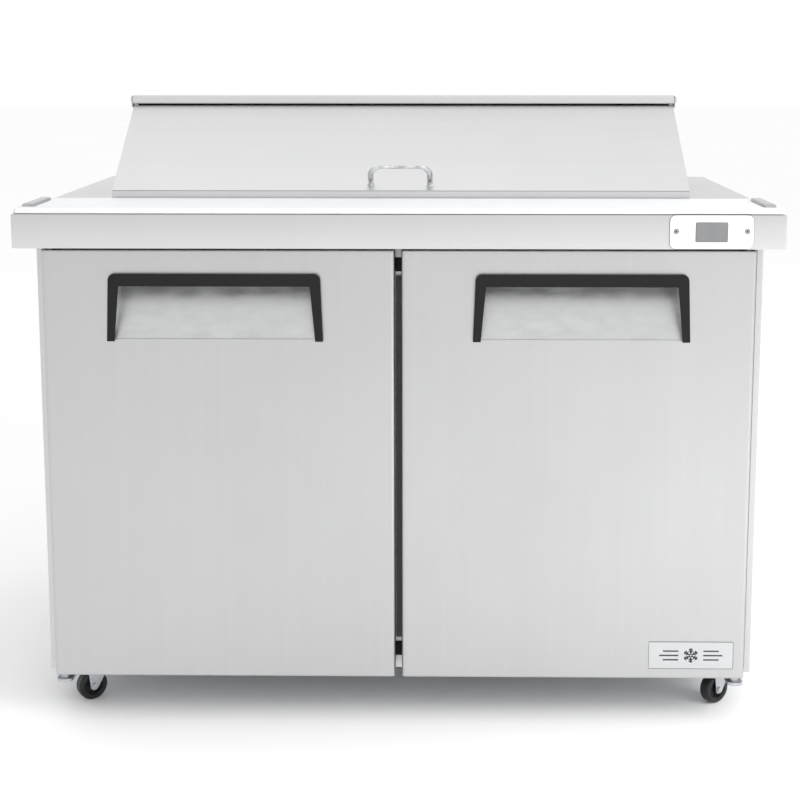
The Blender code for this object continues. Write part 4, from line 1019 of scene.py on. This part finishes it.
# ---------------------------------------- rear
def make_rear_louvres():
    """A pressed hood over each slot of the rear grille."""
    low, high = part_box("rear_grille")
    columns, rows = 4, 9
    column_pitch, row_pitch = 0.250, 0.0262
    slot_width, lap = 0.230, 0.002
    first_x, first_z = low.x + 0.025, low.z + 0.023
    bulge, rise, skin = 0.0045, 0.0125, 0.0008
    bm = bmesh.new()
    for column in range(columns):
        x = first_x + column * column_pitch
        for row in range(rows):
            z = first_z + row * row_pitch
            outer = [(high.y - 0.0004, z + rise + 0.001)]
            for step in range(1, 7):
                t = math.radians(15 * step)
                outer.append((high.y + bulge * math.sin(t), z + rise * math.cos(t)))
            ring = outer + [(y - skin, level - skin) for y, level in outer[::-1]]
            lip = bmesh.new()
            ends = (x - lap, x + slot_width + lap)
            sides = [[lip.verts.new((end, y, level)) for y, level in ring] for end in ends]
            for k in range(len(ring)):
                n = (k + 1) % len(ring)
                lip.faces.new((sides[0][k], sides[0][n], sides[1][n], sides[1][k]))
            lip.faces.new(sides[0][::-1])
            lip.faces.new(sides[1])
            add_to(bm, lip)
    piece("rear_louvres", bm, "steel", "cabinet")


def make_screws():
    """Screw heads where the sheets and brackets are fastened."""
    low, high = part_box("back_panel")
    edge = 0.012
    left, right = low.x + edge, high.x - edge
    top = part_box("worktop")[0].z - edge
    places = [(left + (right - left) * i / 5, high.y, top) for i in range(6)]
    places += [(x, high.y, z) for x in (-right, right) for z in (0.42, 0.56, 0.70)]
    screws("back_panel_screws", places, BACK, SHEET_SCREW)
    low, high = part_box("rear_grille")
    edge = 0.008
    xs = (low.x + edge, -0.250, 0.0, 0.250, high.x - edge)  # at the ends and between the columns of slots
    places = [(x, high.y, z) for x in xs for z in (low.z + edge, high.z - 0.006)]
    screws("rear_grille_screws", places, BACK, GRILLE_SCREW)
    upper, lower = [], []
    for label in SIDES:
        bracket = "hinge_bracket_upper_" + label
        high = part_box(bracket)[1]
        upper += [(centre_of(bracket).x, high.y - 0.0050, high.z - down) for down in (0.009, 0.024)]
        bracket = "hinge_bracket_lower_" + label
        low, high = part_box(bracket)
        lower += [(centre_of(bracket).x, high.y - forward, low.z) for forward in (0.010, 0.032)]
    screws("upper_hinge_screws", upper, FRONT, SHEET_SCREW)
    screws("lower_hinge_screws", lower, DOWN, SHEET_SCREW)
    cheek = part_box("hood_cover")[1].x
    rod = centre_of("hinge_rod")
    for label, side, facing in (("left", -1, RIGHT.inverted()), ("right", 1, RIGHT)):
        screws("lid_pivot_nut_" + label, [(side * cheek, rod.y, rod.z)], facing, PIVOT_NUT)


# ---------------------------------------- casters
TYRE_HALF, TYRE_SHOULDER = 0.0098, 0.0042  # half the tyre's width, and the radius of its shoulders
HUB_SIDE = [  # (radius, height): from the rim inwards to the bearing boss
    (0.0164, 0.0070), (0.0160, 0.0092), (0.0145, 0.0092), (0.0138, 0.0060), (0.0088, 0.0060),
    (0.0080, 0.0098), (0.0042, 0.0098), (0.0036, 0.0090),
]


def make_wheels():
    """A moulded tyre with a rounded tread, on a hub with a raised rim, a bearing boss and five ribs."""
    joints = {j["child"]: j for j in frame["record"]["behaviour"]["joints"]}
    for corner in CORNERS:
        node, body = "caster_wheel_" + corner, "wheel_" + corner
        axle = Vector(joints[body]["axis"]).to_track_quat("Z", "Y").to_matrix().to_4x4()
        place = Matrix.Translation(centre_of(node)) @ axle
        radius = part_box(node)[1].z / 2  # the wheel stands on the floor
        tyre = turned_mesh(tyre_profile(radius)[::-1], 64)
        piece(node + "_tyre", tyre, "wheel_rubber", body, place=place)
        hub = turned_mesh(HUB_SIDE + [(r, -h) for r, h in HUB_SIDE[::-1]], 48)
        for index in range(5):
            spin = Matrix.Rotation(math.radians(72 * index), 4, "Z")
            for rib in ((-0.0080, -0.0055), (0.0055, 0.0080)):
                add_to(hub, box_mesh((0.0078, -0.0009, rib[0]), (0.0142, 0.0009, rib[1]), 0.0003, 2), spin)
        piece(node + "_hub", hub, "wheel_rubber", body, "black_plastic", (node,), place=place)


def tyre_profile(radius):
    """The tyre's section as (radius, height) points: its bore, then the tread with a shallow groove."""
    bore, chamfer, groove = 0.0165, 0.0008, 0.0004
    side = []
    for step in range(7):
        t = math.radians(15 * step)
        out, up = TYRE_SHOULDER * math.sin(t), TYRE_SHOULDER * math.cos(t)
        side.append((radius - TYRE_SHOULDER + out, TYRE_HALF - TYRE_SHOULDER + up))
    middle = [(radius, 0.0016), (radius - groove, 0.0010)]
    tread = side + middle + [(r, -h) for r, h in (side + middle)[::-1]]
    inner = [(bore + 0.0007, TYRE_HALF), (bore, TYRE_HALF - chamfer)]
    return [(r, -h) for r, h in inner] + inner[::-1] + tread


# ---------------------------------------- light, floor and camera
STUDIO_WHITE = 1.12  # brightness of the studio's walls
STUDIO_SIDE = 0.40  # how much brighter it grows to the right
STUDIO_CEILING = 0.16  # how much dimmer straight up
WHITE = (1.0, 1.0, 1.0, 1.0)
FLOOR_REACH = 30.0
CAMERA_PLACE = (0.062, -2.758, 1.100)
CAMERA_DOWN, CAMERA_LEFT = math.radians(8.39), math.radians(0.79)  # how far it is turned from straight ahead
CAMERA_LENS, CAMERA_SHIFT = 68.4, (-0.020, -0.151)


def make_floor():
    """A wide pale floor."""
    bm = bmesh.new()
    bmesh.ops.create_grid(bm, x_segments=1, y_segments=1, size=FLOOR_REACH)
    floor = placed("floor", mesh_from(bm, "floor"))
    made = Finish("floor", (0.96, 0.96, 0.96), 0.0, 0.75)
    made.shade(made.noise(0.8), 0.99, 1.005)
    floor.data.materials.append(made.done())


def area_light(name, place, target, width, height, power, mirrored=True):
    """A softbox aimed at a point. One that isn't mirrored lights things, but isn't seen in the steel."""
    data = bpy.data.lights.new(name, "AREA")
    data.shape = "RECTANGLE"
    data.size, data.size_y = width, height
    data.energy = power
    lamp = placed(name, data)
    lamp.location = place
    lamp.rotation_euler = (Vector(target) - Vector(place)).to_track_quat("-Z", "Y").to_euler()
    lamp.visible_glossy = mirrored


def make_world():
    """A white studio: brighter towards the front right, dimmer overhead, and plain white to the camera."""
    world = bpy.data.worlds.new("studio")
    world.use_nodes = True
    bpy.context.scene.world = world
    tree = world.node_tree
    background = tree.nodes["Background"]

    def math_node(operation, *values):
        made = tree.nodes.new("ShaderNodeMath")
        made.operation = operation
        for index, value in enumerate(values):
            if isinstance(value, float):
                made.inputs[index].default_value = value
            else:
                tree.links.new(value, made.inputs[index])
        return made.outputs[0]

    split = tree.nodes.new("ShaderNodeSeparateXYZ")
    tree.links.new(tree.nodes.new("ShaderNodeTexCoord").outputs["Generated"], split.inputs[0])
    right, back, up = split.outputs
    in_front = math_node("MAXIMUM", math_node("MULTIPLY", back, -1.0), 0.0)
    sideways = math_node("MULTIPLY", math_node("MULTIPLY", right, in_front), STUDIO_SIDE)
    overhead = math_node("MULTIPLY", math_node("MAXIMUM", up, 0.0), -STUDIO_CEILING)
    lit = math_node("ADD", math_node("ADD", sideways, overhead), STUDIO_WHITE)
    seen = tree.nodes.new("ShaderNodeLightPath").outputs["Is Camera Ray"]
    strength = math_node("MAXIMUM", lit, math_node("MULTIPLY", seen, STUDIO_WHITE))
    background.inputs["Color"].default_value = WHITE
    tree.links.new(strength, background.inputs["Strength"])


def make_light():
    """The studio, a softbox above, and a stronger one that lights the floor at the right."""
    make_world()
    area_light("softbox", (0.0, -0.35, 3.0), (0.0, -0.35, 0.0), 3.2, 1.8, 9.0)
    area_light("side_box", (2.4, -1.9, 1.7), (0.9, -1.2, 0.1), 1.6, 1.6, 60.0, mirrored=False)
    bpy.context.scene.view_settings.view_transform = "Standard"


def make_camera():
    data = bpy.data.cameras.new("camera")
    data.lens = CAMERA_LENS
    data.shift_x, data.shift_y = CAMERA_SHIFT
    camera = placed("camera", data)
    camera.location = CAMERA_PLACE
    camera.rotation_euler = (math.radians(90) - CAMERA_DOWN, 0.0, CAMERA_LEFT)
    bpy.context.scene.camera = camera


make_camera()
make_light()
make_floor()
finish_cad_nodes()
make_lid_handle()
make_lid_fold_shade()
make_controls()
make_badge()
make_doorway_shade()
make_gaskets()
make_shelves()
make_shelf_posts()
make_coil("evaporator", "X", "fin_metal", "aluminium", 0.0050, 0.030)
make_coil("condenser", "Y", None, "coil_paint", 0.0032, 0.028)
make_fan_guard("evaporator_fan", "Y", "evaporator")
make_fan_guard("condenser_fan", "X", "condenser")
make_rear_louvres()
make_screws()
make_wheels()
